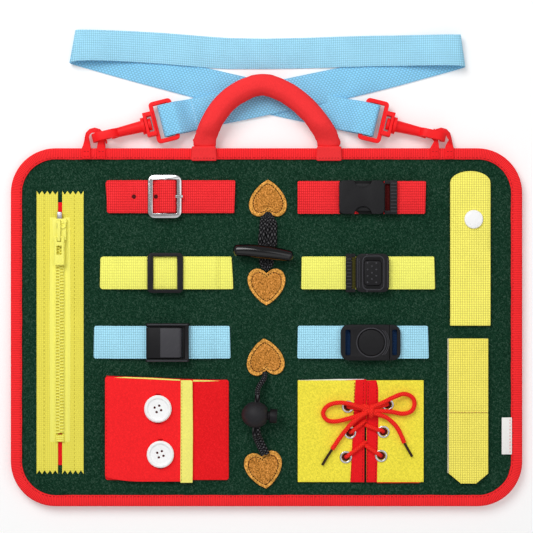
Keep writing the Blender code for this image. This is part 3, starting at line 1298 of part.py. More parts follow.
def build_round():
    left = ROUND_BODY_LEFT
    right = left + ROUND_BODY_LENGTH
    end = right + GAP + ROUND_TONGUE_REACH
    half = ROUND_BODY_WIDTH / 2
    slot_left = left + ROUND_SLOT_SETBACK
    folded_strap("round_strap", ROUND_LEFT, ROUND_RIGHT, slot_left + ROUND_SLOT_LENGTH, right + OVERRUN,
                 ROUND_LEVEL, "blue_webbing")
    inner = TONGUE_WIDTH / 2 + GAP
    outline = box(left, ROUND_LEVEL - half, right + ROUND_BODY_CORNER, ROUND_LEVEL + half, ROUND_BODY_CORNER)
    channel = box(right - TONGUE_LENGTH - GAP, ROUND_LEVEL - inner, right + OVERRUN, ROUND_LEVEL + inner)
    body = buckle_shell("round_body", outline, channel, ROUND_LEVEL, "black_plastic")
    past = box(right, ROUND_LEVEL - 2 * half, right + 2 * ROUND_BODY_CORNER, ROUND_LEVEL + 2 * half)
    cut(body, slab(helper(body, "end"), [past], 0, LAYER_2 + ROUND_BODY_WIDTH, "black_plastic"))
    roof = tongue_low() + TONGUE_THICK + GAP
    centre = (ROUND_BUTTON_PLACE, ROUND_LEVEL)
    cut(body, slab(helper(body, "well"), [circle(centre, ROUND_BUTTON_RADIUS + GAP, 28)], roof - GAP,
                   roof + ROUND_BODY_WIDTH, "black_plastic"))
    slot = box(slot_left, ROUND_LEVEL - ROUND_SLOT_WIDTH / 2, slot_left + ROUND_SLOT_LENGTH,
               ROUND_LEVEL + ROUND_SLOT_WIDTH / 2, ROUND_SLOT_LENGTH / 4)
    cut(body, slab(helper(body, "slot"), [slot], 0, roof + ROUND_BODY_WIDTH, "black_plastic"))
    strap_relief(body, left - OVERRUN, slot_left + ROUND_SLOT_LENGTH + GAP, ROUND_LEVEL)
    low = roof + PRESS_BUTTON_RISE
    button = slab("round_button", [circle(centre, ROUND_BUTTON_RADIUS, 28)], low, low + ROOF_THICK,
                  "black_plastic")
    set_origin(button, (*centre, low))
    build_round_tongue(right, end, half)


def build_round_tongue(mouth, end, half):
    low = tongue_low()
    flat = box(mouth - TONGUE_LENGTH, ROUND_LEVEL - TONGUE_WIDTH / 2, mouth + ROUND_TONGUE_REACH / 2,
               ROUND_LEVEL + TONGUE_WIDTH / 2)
    tongue = slab("round_tongue", [flat], low, low + TONGUE_THICK, "black_plastic")
    head = box(mouth + GAP - ROUND_BODY_CORNER, ROUND_LEVEL - half, end, ROUND_LEVEL + half,
               ROUND_BODY_CORNER)
    grip = slab(helper(tongue, "head"), [head], LAYER_3, LAYER_3 + BUCKLE_BAR_THICK, "black_plastic")
    before = box(mouth - 2 * ROUND_BODY_CORNER, ROUND_LEVEL - 2 * half, mouth + GAP, ROUND_LEVEL + 2 * half)
    cut(grip, slab(helper(grip, "face"), [before], 0, LAYER_3 + ROUND_BODY_WIDTH, "black_plastic"))
    fuse(tongue, grip)
    slot = box(end - ROUND_TONGUE_EDGE - ROUND_TONGUE_SLOT, ROUND_LEVEL - ROUND_SLOT_WIDTH / 2,
               end - ROUND_TONGUE_EDGE, ROUND_LEVEL + ROUND_SLOT_WIDTH / 2, ROUND_TONGUE_SLOT / 4)
    cut(tongue, slab(helper(tongue, "slot"), [slot], 0, LAYER_3 + ROUND_BODY_WIDTH, "black_plastic"))
    set_origin(tongue, (mouth, ROUND_LEVEL, low))


# The hearts and their cords


def heart_outline():
    """A heart with its tip up, about the middle of its height."""
    side = smooth_path([(x, y, 0) for x, y in HEART_SHARES], 2)
    half = [(point.x * HEART_WIDTH / 2, point.y * HEART_HEIGHT / 2) for point in side]
    return half[::-1] + [(-x, y) for x, y in half[1:-1]]


def build_hearts():
    for i, (across, up, turn) in enumerate(HEART_PLACES):
        heart = slab(f"heart_{i + 1}", [heart_outline()], LAYER_1, LAYER_1 + HEART_THICK, "tan_felt")
        move([heart], (across, up, 0), math.radians(turn))


def build_toggle():
    half = TOGGLE_LENGTH / 2
    profile = [(out, -up) for out, up in TOGGLE_PROFILE_SHARES] + list(TOGGLE_PROFILE_SHARES[::-1])
    path = [(half * up, -TOGGLE_BOW * up ** 2, 0) for out, up in profile]
    toggle = tube("toggle", path, TOGGLE_RADIUS, "black_plastic", 6, [out for out, up in profile])
    move([toggle], (*TOGGLE_PLACE, LAYER_1 + BUNDLE_THICK + GAP + TOGGLE_RADIUS), TOGGLE_ANGLE)
    smooth(toggle)
    middle = HEART_PLACES[0][0]
    outline = [(middle - x, y) for x, y in BUNDLE_EDGE] + [(middle + x, y) for x, y in BUNDLE_EDGE[::-1]]
    bundle = slab("toggle_cord", [outline], LAYER_1, LAYER_1 + BUNDLE_THICK, "black_cord")
    soften(bundle, BUNDLE_THICK / 4, 1, 40)
    middle = HEART_PLACES[1][0]
    level = LAYER_1 + LOOP_CORD_RADIUS
    route = [(middle - x, y, level) for x, y in LOOP_CORD_ROUTE]
    route += [(middle + x, y, level) for x, y in LOOP_CORD_ROUTE[::-1]]
    tube("toggle_loop", smooth_path(route, 3), LOOP_CORD_RADIUS, "black_cord", 1)


def lock_frame():
    """The ball's middle and the direction of the cord through it, towards the upper heart."""
    middle = Vector((*LOCK_PLACE, LAYER_1 + LOCK_RADIUS))
    ahead = Vector((LOCK_SLANT, 1, 0)).normalized()
    return middle, ahead


def build_cord_lock():
    middle, ahead = lock_frame()
    turn = math.atan2(ahead.y, ahead.x) - math.pi / 2
    body = ball("cord_lock_body", (LOCK_RADIUS,) * 3, "black_plastic", 20, 12)
    bore = tube("cord_lock_bore", [(0, -2 * LOCK_RADIUS, 0), (0, 2 * LOCK_RADIUS, 0)],
                CORD_RADIUS + LOCK_BORE_CLEARANCE, "black_plastic", 2)
    well_start = CORD_RADIUS + LOCK_BORE_CLEARANCE + GAP
    well = tube("cord_lock_well", [(well_start, 0, 0), (2 * LOCK_RADIUS, 0, 0)], PLUNGER_STEM_RADIUS + GAP,
                "black_plastic", 3)
    mouth = LOCK_RADIUS - PLUNGER_TRAVEL
    seat = tube("cord_lock_seat", [(mouth, 0, 0), (2 * LOCK_RADIUS, 0, 0)], PLUNGER_RADIUS + GAP,
                "black_plastic", 4)
    cut(body, bore, well, seat)
    head = mouth + PLUNGER_TRAVEL + GAP
    plunger = tube("cord_lock_plunger", [(head, 0, 0), (head + PLUNGER_HEAD, 0, 0)], PLUNGER_RADIUS,
                   "black_plastic", 4)
    stem = tube("plunger_stem",
                [(head - PLUNGER_STEM + PLUNGER_TRAVEL, 0, 0), (head + PLUNGER_HEAD / 2, 0, 0)],
                PLUNGER_STEM_RADIUS, "black_plastic", 3)
    fuse(plunger, stem)
    move([body, bore, well, seat, plunger, stem], middle, turn)
    smooth(body)
    build_lock_cord(middle, ahead)


def build_lock_cord(middle, ahead):
    low = LAYER_1 + HEART_THICK + GAP + CORD_RADIUS
    top, bottom = middle + ahead * CORD_STRAIGHT, middle - ahead * CORD_STRAIGHT
    down = [(*CORD_UPPER[0], low), (*CORD_UPPER[1], (low + middle.z) / 2)]
    path = smooth_path([Vector(p) for p in down] + [top], 3) + [middle]
    path += smooth_path([bottom] + [Vector((*p, low)) for p in CORD_LOWER], 3)
    cord = tube("lock_cord", path, CORD_RADIUS, "black_cord", 2)
    beside = [bottom + ahead * CORD_RADIUS]
    beside += [Vector((x + CORD_STRAND_STEP, y + CORD_STRAND_STEP / 4, low)) for x, y in CORD_LOWER]
    second = CORD_RADIUS * CORD_SECOND_SHARE
    fuse(cord, tube("lock_cord_second", smooth_path(beside, 3), second, "black_cord", 2))


# The patches


def build_buttons():
    low = LAYER_1
    slab("flap_lower", [box(FLAP_LEFT, UNDERLAP_TOP - UNDERLAP_HEIGHT, UNDERLAP_RIGHT, UNDERLAP_TOP,
                            FLAP_CORNER)], low, low + UNDERLAP_THICK, "red_tape")
    upper_low = low + UNDERLAP_THICK + GAP
    outline = box(FLAP_LEFT, FLAP_TOP - FLAP_HEIGHT, FLAP_RIGHT, FLAP_TOP, FLAP_CORNER)
    holes = [about(place, BUTTONHOLE_WIDTH, BUTTONHOLE_LENGTH) for place in BUTTON_PLACES]
    flap = slab("flap_upper", [outline] + holes, upper_low, upper_low + FLAP_THICK, "red_tape")
    set_origin(flap, (FLAP_LEFT, FLAP_TOP - FLAP_HEIGHT / 2, upper_low))
    flap_top = upper_low + FLAP_THICK
    for name, place in zip(("upper", "lower"), BUTTON_PLACES):
        build_button(name, place, flap_top + GAP, low + UNDERLAP_THICK + GAP)


def build_button(name, place, base, shank_low):
    top = base + BUTTON_THICK
    inner = BUTTON_RADIUS - BUTTON_RIM
    profile = [(0, top - BUTTON_DISH), (inner - BUTTON_DISH, top - BUTTON_DISH), (inner, top),
               (BUTTON_RADIUS - BUTTON_DISH, top), (BUTTON_RADIUS, top - BUTTON_DISH),
               (BUTTON_RADIUS - BUTTON_DISH, base), (BUTTON_SHANK_RADIUS, base),
                (BUTTON_SHANK_RADIUS, shank_low),
               (0, shank_low)]
    disc = turned(f"button_{name}", profile, "white_plastic", 24)
    for i in range(4):
        angle = math.radians(45 + 90 * i)
        reach = BUTTON_HOLE_SPREAD * math.sqrt(2)
        spot = (math.cos(angle) * reach, math.sin(angle) * reach)
        hole = slab(helper(disc, f"hole_{i}"), [circle(spot, BUTTON_HOLE_RADIUS, 8)], base + BUTTON_DISH / 2,
                    top + OVERRUN, "white_plastic")
        cut(disc, hole)
        move([hole], (*place, 0))
    move([disc], (*place, 0))


def lace_panel(name, left, right, eyelets):
    low, high = LAYER_1, LAYER_1 + LACE_PANEL_THICK
    outline = box(left, LACE_PATCH_TOP - LACE_PATCH_HEIGHT, right, LACE_PATCH_TOP)
    holes = [circle(e, EYELET_HOLE_RADIUS, 12) for e in eyelets]
    panel = slab(name, [outline] + holes, low, high, "yellow_felt")
    for i, eyelet in enumerate(eyelets):
        rim = slab(helper(panel, f"eyelet_{i}"), [circle(eyelet, EYELET_RADIUS, 18),
                                                  circle(eyelet, EYELET_HOLE_RADIUS, 12)],
                   high - LACE_PANEL_THICK / 2, high + EYELET_RISE, "silver")
        fuse(panel, rim)


def build_lacing():
    lace_panel("lace_panel_left", LACE_PATCH_LEFT, LACE_SLIT - LACE_SLIT_WIDTH / 2, EYELETS_LEFT)
    lace_panel("lace_panel_right", LACE_SLIT + LACE_SLIT_WIDTH / 2, LACE_PATCH_RIGHT, EYELETS_RIGHT)
    base = LAYER_1 + LACE_PANEL_THICK + EYELET_RISE + GAP
    level = base + LACE_RADIUS
    knot_level = base + KNOT_RADII[2]
    knot = ball("lace", KNOT_RADII, "red_tape", 12, 8)
    knot.matrix_basis = Matrix.Translation((*KNOT_PLACE, knot_level))
    high = knot_level + LACE_RADIUS / 2
    strands = []
    for name, route in (("left_loop", LACE_LEFT_LOOP), ("right_loop", LACE_RIGHT_LOOP)):
        last = len(route) - 1
        path = []
        for i, (across, up) in enumerate(route):
            share = math.sin(math.pi * i / last)
            lift = LACE_LIFT * share if i < last / 2 else 0
            path.append((across, up, high + (level - high) * share + lift))
        strands.append(tube(f"lace_{name}", smooth_path(path, 3), LACE_RADIUS, "red_tape", 1))
    for name, route in (("left_tail", LACE_LEFT_TAIL), ("right_tail", LACE_RIGHT_TAIL)):
        path = [(x, y, high if i == 0 else level) for i, (x, y) in enumerate(route)]
        strands.append(tube(f"lace_{name}", smooth_path(path, 3), LACE_RADIUS, "red_tape", 1))
    for name, eyelet in (("left_bar", EYELETS_LEFT[0]), ("right_bar", EYELETS_RIGHT[0])):
        path = [(*eyelet, LAYER_1 + LACE_PANEL_THICK / 2), (*eyelet, level), (*KNOT_PLACE, knot_level)]
        strands.append(tube(f"lace_{name}", path, LACE_RADIUS * LACE_PULLED_SHARE, "red_tape", 1))
    fuse(knot, *strands)


def build_snap_strap():
    left, right = SNAP_LEFT, SNAP_LEFT + SNAP_WIDTH
    bottom, top = SNAP_BOTTOM, SNAP_BOTTOM + SNAP_LENGTH
    middle = (left + right) / 2
    shoulder = top - SNAP_SHOULDER
    crown = [(middle + math.cos(a) * SNAP_WIDTH / 2, shoulder + math.sin(a) * SNAP_SHOULDER)
             for a in (math.pi * i / (2 * SNAP_END_STEPS) for i in range(2 * SNAP_END_STEPS + 1))]
    low = LAYER_2
    outline = [(left, bottom), (right, bottom)] + crown
    hole = circle(SNAP_PLACE, SNAP_POST_RADIUS + GAP, 14)
    strap = slab("snap_strap", [outline, hole], low, low + SNAP_THICK, "yellow_webbing")
    sewn = box(left, bottom, right, bottom + SNAP_SEWN)
    fuse(strap, slab("snap_strap_sewn", [sewn], LAYER_1, low + SNAP_THICK / 2, "yellow_webbing"))
    set_origin(strap, (middle, bottom, LAYER_1))
    base = low + SNAP_THICK + GAP
    crown = [(SNAP_RADIUS * out, base + SNAP_CAP_THICK * up) for out, up in SNAP_CROWN_SHARES]
    profile = [(0, base + SNAP_CAP_THICK)] + crown + [
        (SNAP_RADIUS, base + SNAP_CAP_THICK / 3), (SNAP_RADIUS, base), (SNAP_POST_RADIUS, base),
        (SNAP_POST_RADIUS, LAYER_1), (0, LAYER_1)]
    cap = turned("snap_cap", profile, "white_plastic", 24)
    move([cap], (*SNAP_PLACE, 0))
    smooth(cap)


def build_grip():
    left, right = GRIP_LEFT, GRIP_LEFT + GRIP_WIDTH
    bottom = GRIP_TOP - GRIP_LENGTH
    low = LAYER_1
    upper_low = low + GRIP_THICK + GAP
    base_outline = box(left - GRIP_INSET / 2, bottom + GRIP_CHAMFER_RISE, right - GRIP_INSET, GRIP_TOP)
    base = slab("grip_base", [base_outline],
                low, low + GRIP_THICK, "pale_hook")
    top_half = box(left, GRIP_SEAM + GAP / 2, right, GRIP_TOP)
    fuse(base, slab("grip_base_top", [top_half], low + GRIP_THICK / 2, upper_low + GRIP_THICK,
                    "yellow_webbing"))
    run, rise = GRIP_CHAMFER_RUN, GRIP_CHAMFER_RISE
    outline = [(left, GRIP_SEAM - GAP / 2), (left, bottom + rise), (left + run, bottom),
               (right - run, bottom),
               (right, bottom + rise), (right, GRIP_SEAM - GAP / 2)]
    strap = slab("grip_strap", [outline], upper_low, upper_low + GRIP_THICK, "yellow_webbing")
    set_origin(strap, ((left + right) / 2, GRIP_SEAM, upper_low + GRIP_THICK))


clear_scene()
PARTS = new_collection("busy_board")
CUTTERS = new_collection("cutters")
build_panels()
build_binding()
build_handle()
build_tab_loops()
build_sling(build_hooks())
build_zip()
build_belt()
build_glide()
build_cam()
build_clip()
build_press()
build_round()
build_hearts()
build_toggle()
build_cord_lock()
build_buttons()
build_lacing()
build_snap_strap()
build_grip()
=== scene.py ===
"""Felt busy board: the finished look of a bound felt panel with its handle, strap and fastenings."""

import json
import math
import random

import bmesh
import bpy
from mathutils import Matrix, Vector

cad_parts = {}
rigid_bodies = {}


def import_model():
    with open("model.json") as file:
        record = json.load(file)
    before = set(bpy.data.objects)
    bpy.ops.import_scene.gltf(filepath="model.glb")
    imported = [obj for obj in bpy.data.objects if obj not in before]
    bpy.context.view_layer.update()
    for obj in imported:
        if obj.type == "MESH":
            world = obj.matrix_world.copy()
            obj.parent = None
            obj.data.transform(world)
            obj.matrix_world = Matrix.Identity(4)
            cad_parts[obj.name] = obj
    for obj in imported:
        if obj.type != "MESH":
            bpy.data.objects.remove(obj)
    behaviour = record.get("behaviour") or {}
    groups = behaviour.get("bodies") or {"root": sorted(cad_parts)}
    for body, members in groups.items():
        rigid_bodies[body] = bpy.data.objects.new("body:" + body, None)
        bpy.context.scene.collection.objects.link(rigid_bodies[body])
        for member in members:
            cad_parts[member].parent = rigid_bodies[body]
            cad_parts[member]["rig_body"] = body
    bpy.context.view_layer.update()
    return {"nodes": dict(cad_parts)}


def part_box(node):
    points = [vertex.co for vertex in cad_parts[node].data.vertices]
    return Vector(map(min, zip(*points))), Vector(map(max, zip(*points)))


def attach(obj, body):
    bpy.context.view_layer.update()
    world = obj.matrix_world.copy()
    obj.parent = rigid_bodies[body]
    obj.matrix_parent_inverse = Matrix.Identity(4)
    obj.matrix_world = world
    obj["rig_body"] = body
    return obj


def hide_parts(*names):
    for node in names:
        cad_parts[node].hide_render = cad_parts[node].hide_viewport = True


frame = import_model()

bl_info = {
    "name": "Felt busy board",
    "version": (1, 0, 0),
    "blender": (4, 5, 0),
    "location": "3D View > Sidebar > Busy board",
    "description": "Makes the finished pieces of a felt busy board, row by row",
    "category": "Add Mesh",
}

# Levels, places and sizes that several pieces share, in metres
GAP = 0.0003
TAPE_THICK = 0.0012
MERGE_WITHIN = 0.000004
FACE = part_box("front_felt")[1].z
LAYER_1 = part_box("belt_strap")[0].z
EDGE_TOP = LAYER_1 + TAPE_THICK
BOARD_LOW, BOARD_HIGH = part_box("edge_binding")
BOARD_TOP_Y = 0.140
HANDLE_RADIUS, HANDLE_Z = 0.0488, 0.0132
ZIP_X = -0.16135
BELT_Y, GLIDE_Y, CAM_Y = 0.1020, 0.0425, -0.0117
CLIP_Y, PRESS_Y, ROUND_Y = 0.1014, 0.0425, -0.0116
WEB_WIDTH = 0.0252

COLOURS = {
    "felt_green": ((0.0060, 0.0375, 0.0185), "Board felt"),
    "felt_red": ((0.84, 0.012, 0.016), "Button patch felt"),
    # Painted light: the same red felt as the lower flap, coloured lighter for the upper flap as if more lit
    "felt_red_painted_light": ((0.96, 0.020, 0.024), "Upper flap of the button patch"),
    "felt_yellow": ((0.93, 0.80, 0.062), "Lacing patch felt"),
    "felt_trim": ((0.94, 0.88, 0.20), "Trim of the upper flap"),
    "felt_tan": ((0.57, 0.225, 0.036), "Heart felt"),
    "felt_tan_rim": ((0.74, 0.34, 0.062), "Heart felt outside its stitches"),
    "tape_red": ((0.92, 0.020, 0.024), "Edge tape"),
    "web_red": ((0.93, 0.026, 0.032), "Red webbing"),
    "web_yellow": ((0.98, 0.96, 0.18), "Yellow webbing"),
    "web_snap": ((1.0, 0.91, 0.160), "Snap strap"),
    "web_grip": ((0.97, 0.85, 0.135), "Grip strap"),
    "web_row_blue": ((0.40, 0.78, 0.96), "Light-blue webbing of the rows"),
    "web_blue": ((0.36, 0.73, 0.94), "Shoulder strap"),
    "web_blue_deep": ((0.26, 0.64, 0.92), "Lower bands of the shoulder strap"),
    "thread_pale": ((0.60, 0.84, 0.96), "Stitches of the shoulder strap"),
    # Painted shade: the blue strap as it looks in shadow inside the buckle's slots
    "slot_blue_painted_shade": ((0.008, 0.033, 0.10), "Blue strap seen in the buckle's slots"),
    "zip_yellow": ((0.84, 0.75, 0.095), "Zip tape"),
    "zip_pale": ((0.95, 0.90, 0.17), "Zip teeth, slider and inner tape"),
    "zip_shade": ((0.78, 0.69, 0.085), "Between the zip teeth"),
    "plastic_black": ((0.0050, 0.0047, 0.0062), "Black buckles"),
    # Painted shade: a black darker than the buckles, for gaps, slots and recesses
    "plastic_painted_shade": ((0.0020, 0.0020, 0.0025), "Shaded recesses"),
    "plastic_grey": ((0.018, 0.017, 0.020), "Cord lock"),
    # Raised ribs and rims: real shapes, given a lighter grey than the black plastic as painted highlight
    "plastic_rim_highlight": ((0.050, 0.049, 0.056), "Ribs and raised rims"),
    "toggle_black": ((0.0020, 0.0020, 0.0028), "Toggle"),
    "plastic_red": ((0.97, 0.007, 0.010), "Red snap hooks"),
    "plastic_white": ((0.97, 0.97, 0.97), "White buttons and stud"),
    "cord_black": ((0.010, 0.0095, 0.0115), "Black cords"),
    "lace_red": ((0.93, 0.020, 0.012), "Red lace"),
    "lace_tip": ((0.030, 0.012, 0.006), "Lace tips"),
    "thread_brown": ((0.075, 0.014, 0.003), "Heart stitches"),
    "thread_orange": ((0.80, 0.48, 0.12), "Seam of the grip strap"),
    "metal_bright": ((0.62, 0.62, 0.63), "Plated buckle and eyelets"),
    "hook_pale": ((0.72, 0.68, 0.50), "Hook tape under the grip strap"),
    "tag_white": ((0.90, 0.89, 0.86), "Side tag"),
    "handle_red": ((0.92, 0.040, 0.043), "Handle cover"),
    "thread_dark_red": ((0.30, 0.005, 0.007), "Dark red thread"),
    # Painted shade: dark red for the shadow inside holes, slots and eyelet wells
    "hole_deep": ((0.075, 0.002, 0.002), "Holes in the red pieces"),
    "thread_yellow_dark": ((0.46, 0.38, 0.025), "Dark yellow thread"),
    # Painted shade: the yellow strap as it looks in shadow inside the buckle's slot
    "slot_yellow_painted_shade": ((0.050, 0.045, 0.005), "Yellow strap seen in the buckle's slot"),
    "board_grey": ((0.50, 0.49, 0.46), "Stiffening core"),
}


class BoardColours(bpy.types.PropertyGroup):
    """The colours of the board's cloths, plastics and threads."""

    __annotations__ = {
        key: bpy.props.FloatVectorProperty(
            name=label, description=f"Colour of this finish: {label.lower()}", default=colour,
            subtype="COLOR", size=3, min=0.0, max=1.0)
        for key, (colour, label) in COLOURS.items()
    }


class BoardSizes(bpy.types.PropertyGroup):
    """The sizes of the sewn details that a user would change."""

    stitch_length: bpy.props.FloatProperty(
        name="Stitch length", description="Length of one machine stitch", default=0.0019,
        min=0.0005, max=0.01, subtype="DISTANCE", unit="LENGTH")
    stitch_pitch: bpy.props.FloatProperty(
        name="Stitch pitch", description="From one stitch to the next", default=0.0028,
        min=0.001, max=0.02, subtype="DISTANCE", unit="LENGTH")
    thread: bpy.props.FloatProperty(
        name="Thread thickness", description="Thickness of the sewing thread", default=0.00042,
        min=0.0001, max=0.002, subtype="DISTANCE", unit="LENGTH")
    tooth_pitch: bpy.props.FloatProperty(
        name="Zip tooth pitch", description="From one zip tooth to the next in a row", default=0.0024,
        min=0.001, max=0.01, subtype="DISTANCE", unit="LENGTH")
    camera_height: bpy.props.FloatProperty(
        name="Camera height", description="Height of the camera above the table", default=1.1,
        min=0.4, max=5.0, subtype="DISTANCE", unit="LENGTH")
    view_width: bpy.props.FloatProperty(
        name="View width", description="Width that the camera takes in at the board", default=0.4164,
        min=0.1, max=2.0, subtype="DISTANCE", unit="LENGTH")


# Selecting, editing and finishing


def rest():
    """Back to object mode with nothing selected."""
    if bpy.context.mode != "OBJECT":
        bpy.ops.object.mode_set(mode="OBJECT")
    bpy.ops.object.select_all(action="DESELECT")


def pick(piece):
    """Selects one piece and nothing else."""
    rest()
    piece.select_set(True)
    bpy.context.view_layer.objects.active = piece
    return piece


def open_all():
    """Edit mode on the active piece, with all of it selected."""
    bpy.ops.object.mode_set(mode="EDIT")
    bpy.ops.mesh.select_all(action="SELECT")


def close():
    bpy.ops.object.mode_set(mode="OBJECT")


def choose_facing(test):
    """Selects the faces of the piece in edit mode whose normal passes a test."""
    shape = bmesh.from_edit_mesh(bpy.context.edit_object.data)
    bpy.ops.mesh.select_all(action="DESELECT")
    bpy.context.tool_settings.mesh_select_mode = (False, False, True)
    for face in shape.faces:
        if test(face.normal):
            face.select_set(True)
    shape.select_flush_mode()
    bmesh.update_edit_mesh(bpy.context.edit_object.data)


def add_modifier(piece, kind, **values):
    made = piece.modifiers.new(kind.lower(), kind)
    for key, value in values.items():
        setattr(made, key, value)


def apply_modifiers(piece):
    pick(piece)
    for modifier in list(piece.modifiers):
        bpy.ops.object.modifier_apply(modifier=modifier.name)


def round_edges(piece, width, segments, angle):
    """Rounds the edges that turn by more than an angle, and applies what else waits on the piece."""
    add_modifier(piece, "BEVEL", width=width, segments=segments, limit_method="ANGLE",
                 angle_limit=math.radians(angle))
    apply_modifiers(piece)


def settle(piece, look=None, angle=35.0):
    """Gives a piece its place in its mesh, its finish and its shading."""
    pick(piece)
    bpy.ops.object.transform_apply(location=True, rotation=True, scale=True)
    if look:
        paint(piece, look)
    bpy.ops.object.shade_smooth_by_angle(angle=math.radians(angle))
    return piece


def paint(piece, look):
    piece.data.materials.clear()
    piece.data.materials.append(finish(look))


def new_piece(name, mesh):
    piece = bpy.data.objects.new(name, mesh)
    bpy.context.scene.collection.objects.link(piece)
    return piece


def carrier(node_name):
    """The body that a node of the model rides on."""
    return frame["nodes"][node_name]["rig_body"]


def metres(places):
    """Places given in millimetres, in metres."""
    return [tuple(v / 1000 for v in place) for place in places]


def run_of(places):
    """The length of a path."""
    return sum((b - a).length for a, b in zip(places, places[1:]))


def rectangle(x0, y0, x1, y1):
    return [(x0, y0), (x1, y0), (x1, y1), (x0, y1)]


# Pieces made from the model's own nodes


def merged_copy(node_name, name, flat=0.0):
    """A copy of a node's mesh, its doubles merged, then its flat faces joined or its normals turned outwards."""
    rest()
    piece = pick(new_piece(name, frame["nodes"][node_name].data.copy()))
    if piece.data.has_custom_normals:
        bpy.ops.mesh.customdata_custom_splitnormals_clear()
    open_all()
    bpy.ops.mesh.remove_doubles(threshold=MERGE_WITHIN)
    if flat:
        bpy.ops.mesh.dissolve_limited(angle_limit=math.radians(flat))
    else:
        bpy.ops.mesh.normals_make_consistent(inside=False)
    close()
    return piece


def refined(node_name, width, segments=3, look=None, angle=30.0, sharp=38.0):
    """A finer copy of a rigid piece, with its corners welded and its edges rounded, standing for it."""
    piece = merged_copy(node_name, f"{node_name}_fine", 0.8)
    round_edges(piece, width, segments, angle)
    settle(piece, look, sharp)
    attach(piece, carrier(node_name))
    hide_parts(node_name)
    return piece


def cloth_copy(node_name, look, cell=0.0, soft=0.0005, waves=0.0, segments=3, seed=1, sharp=45.0):
    """A cloth piece in the place of its plain solid: soft edges, an even grid and a slight waviness."""
    piece = merged_copy(node_name, f"{node_name}_cloth", 1.0)
    round_edges(piece, soft, segments, 40)
    soften(piece, cell, waves, seed)
    settle(piece, look, sharp)
    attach(piece, carrier(node_name))
    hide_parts(node_name)
    return piece


def soften(piece, cell, waves, seed):
    """Cuts a cloth on a grid and makes it a little uneven, where it is to be."""
    if cell:
        cut_grid(piece, cell)
    if waves:
        ripple(piece, waves, seed)


def cut_grid(piece, cell, axes=(0, 1)):
    """Cuts a piece's faces at even places along its axes, so that its surface can move a little."""
    low, high = Vector(piece.bound_box[0]), Vector(piece.bound_box[6])
    pick(piece)
    bpy.ops.object.mode_set(mode="EDIT")
    for axis in axes:
        count = max(1, round((high[axis] - low[axis]) / cell))
        normal = [0, 0, 0]
        normal[axis] = 1
        for i in range(1, count):
            bpy.ops.mesh.select_all(action="SELECT")
            place = low.copy()
            place[axis] += (high[axis] - low[axis]) * i / count
            bpy.ops.mesh.bisect(plane_co=place, plane_no=normal)
    close()


def wavy(x, y, seed):
    """A slow smooth unevenness between -1 and 1."""
    total, weight = 0.0, 0.0
    rng = random.Random(seed)
    for _ in range(7):
        turn, pitch, phase = rng.uniform(0, math.pi), rng.uniform(0.018, 0.055), rng.uniform(0, 6.28)
        share = pitch / 0.055
        total += share * math.sin((x * math.cos(turn) + y * math.sin(turn)) * 2 * math.pi / pitch + phase)
        weight += share
    return total / weight


def ripple(piece, amount, seed):
    """Moves the upper side of a flat cloth up and down a little; its underside stays."""
    low = min(c.co.z for c in piece.data.vertices)
    high = max(c.co.z for c in piece.data.vertices)
    for corner in piece.data.vertices:
        share = max(0.0, (corner.co.z - low) / (high - low))
        corner.co.z += amount * share * (wavy(corner.co.x, corner.co.y, seed) - 0.3)
    piece.data.update()


# New pieces


def placed(name):
    """The primitive just added, named, with its place and size in its mesh."""
    piece = bpy.context.object
    piece.name = name
    bpy.ops.object.transform_apply(location=True, rotation=True, scale=True)
    return piece


def block(name, low, high, rounding, segments=2, look=None, body="board"):
    """A box between two corners, with its edges rounded in edit mode."""
    rest()
    low, high = Vector(low), Vector(high)
    bpy.ops.mesh.primitive_cube_add(size=1, location=(low + high) / 2, scale=high - low)
    piece = placed(name)
    open_all()
    bpy.ops.mesh.bevel(offset=rounding, segments=segments, affect="EDGES")
    close()
    settle(piece, look)
    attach(piece, body)
    return piece


def drum(name, centre, radius, low, high, sides):
    """An upright cylinder between two heights, still to be shaped or finished."""
    rest()
    bpy.ops.mesh.primitive_cylinder_add(vertices=sides, radius=radius, depth=high - low,
                                        location=(*centre, (low + high) / 2))
    return placed(name)


def disc(name, centre, radius, low, high, look, sides=20, body="board"):
    """A small round floor of a hole or a dent."""
    piece = settle(drum(name, centre, radius, low, high, sides), look)
    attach(piece, body)
    return piece


def ring(name, centre, outer, inner, low, high, look, sides, rounding, body="board"):
    """A flat ring with rounded rims: a disc with its middle inset, joined through and taken out."""
    piece = drum(name, centre, outer, low, high, sides)
    bpy.ops.object.mode_set(mode="EDIT")
    choose_facing(lambda facing: abs(facing.z) > 0.9)
    bpy.ops.mesh.inset(thickness=outer - inner)
    bpy.ops.mesh.bridge_edge_loops()
    choose_facing(lambda facing: abs(facing.z) > 0.9)
    bpy.ops.mesh.region_to_loop()
    bpy.ops.mesh.bevel(offset=rounding, segments=3, affect="EDGES")
    bpy.ops.mesh.select_all(action="SELECT")
    bpy.ops.mesh.normals_make_consistent(inside=False)
    close()
    settle(piece, look)
    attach(piece, body)
    return piece


def plate(name, outline, low, high, look, soft=0.0002, body="board", cell=0.0, waves=0.0, seed=1):
    """A flat piece of any outline: a filled loop of corners, extruded upwards, with soft edges."""
    rest()
    bpy.ops.mesh.primitive_circle_add(vertices=len(outline), radius=0.01, fill_type="NGON")
    piece = bpy.context.object
    piece.name = name
    area = sum(a[0] * b[1] - b[0] * a[1] for a, b in zip(outline, outline[1:] + outline[:1]))
    loop = outline if area > 0 else outline[::-1]
    order = list(piece.data.polygons[0].vertices)
    if piece.data.polygons[0].normal.z < 0:
        order = order[::-1]
    for index, (x, y) in zip(order, loop):
        piece.data.vertices[index].co = (x, y, low)
    open_all()
    bpy.ops.mesh.extrude_region_move(TRANSFORM_OT_translate={"value": (0, 0, high - low)})
    bpy.ops.mesh.select_all(action="SELECT")
    bpy.ops.mesh.normals_make_consistent(inside=False)
    close()
    if soft:
        round_edges(piece, soft, 2, 40)
    soften(piece, cell, waves, seed)
    settle(piece, look, 50)
    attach(piece, body)
    return piece


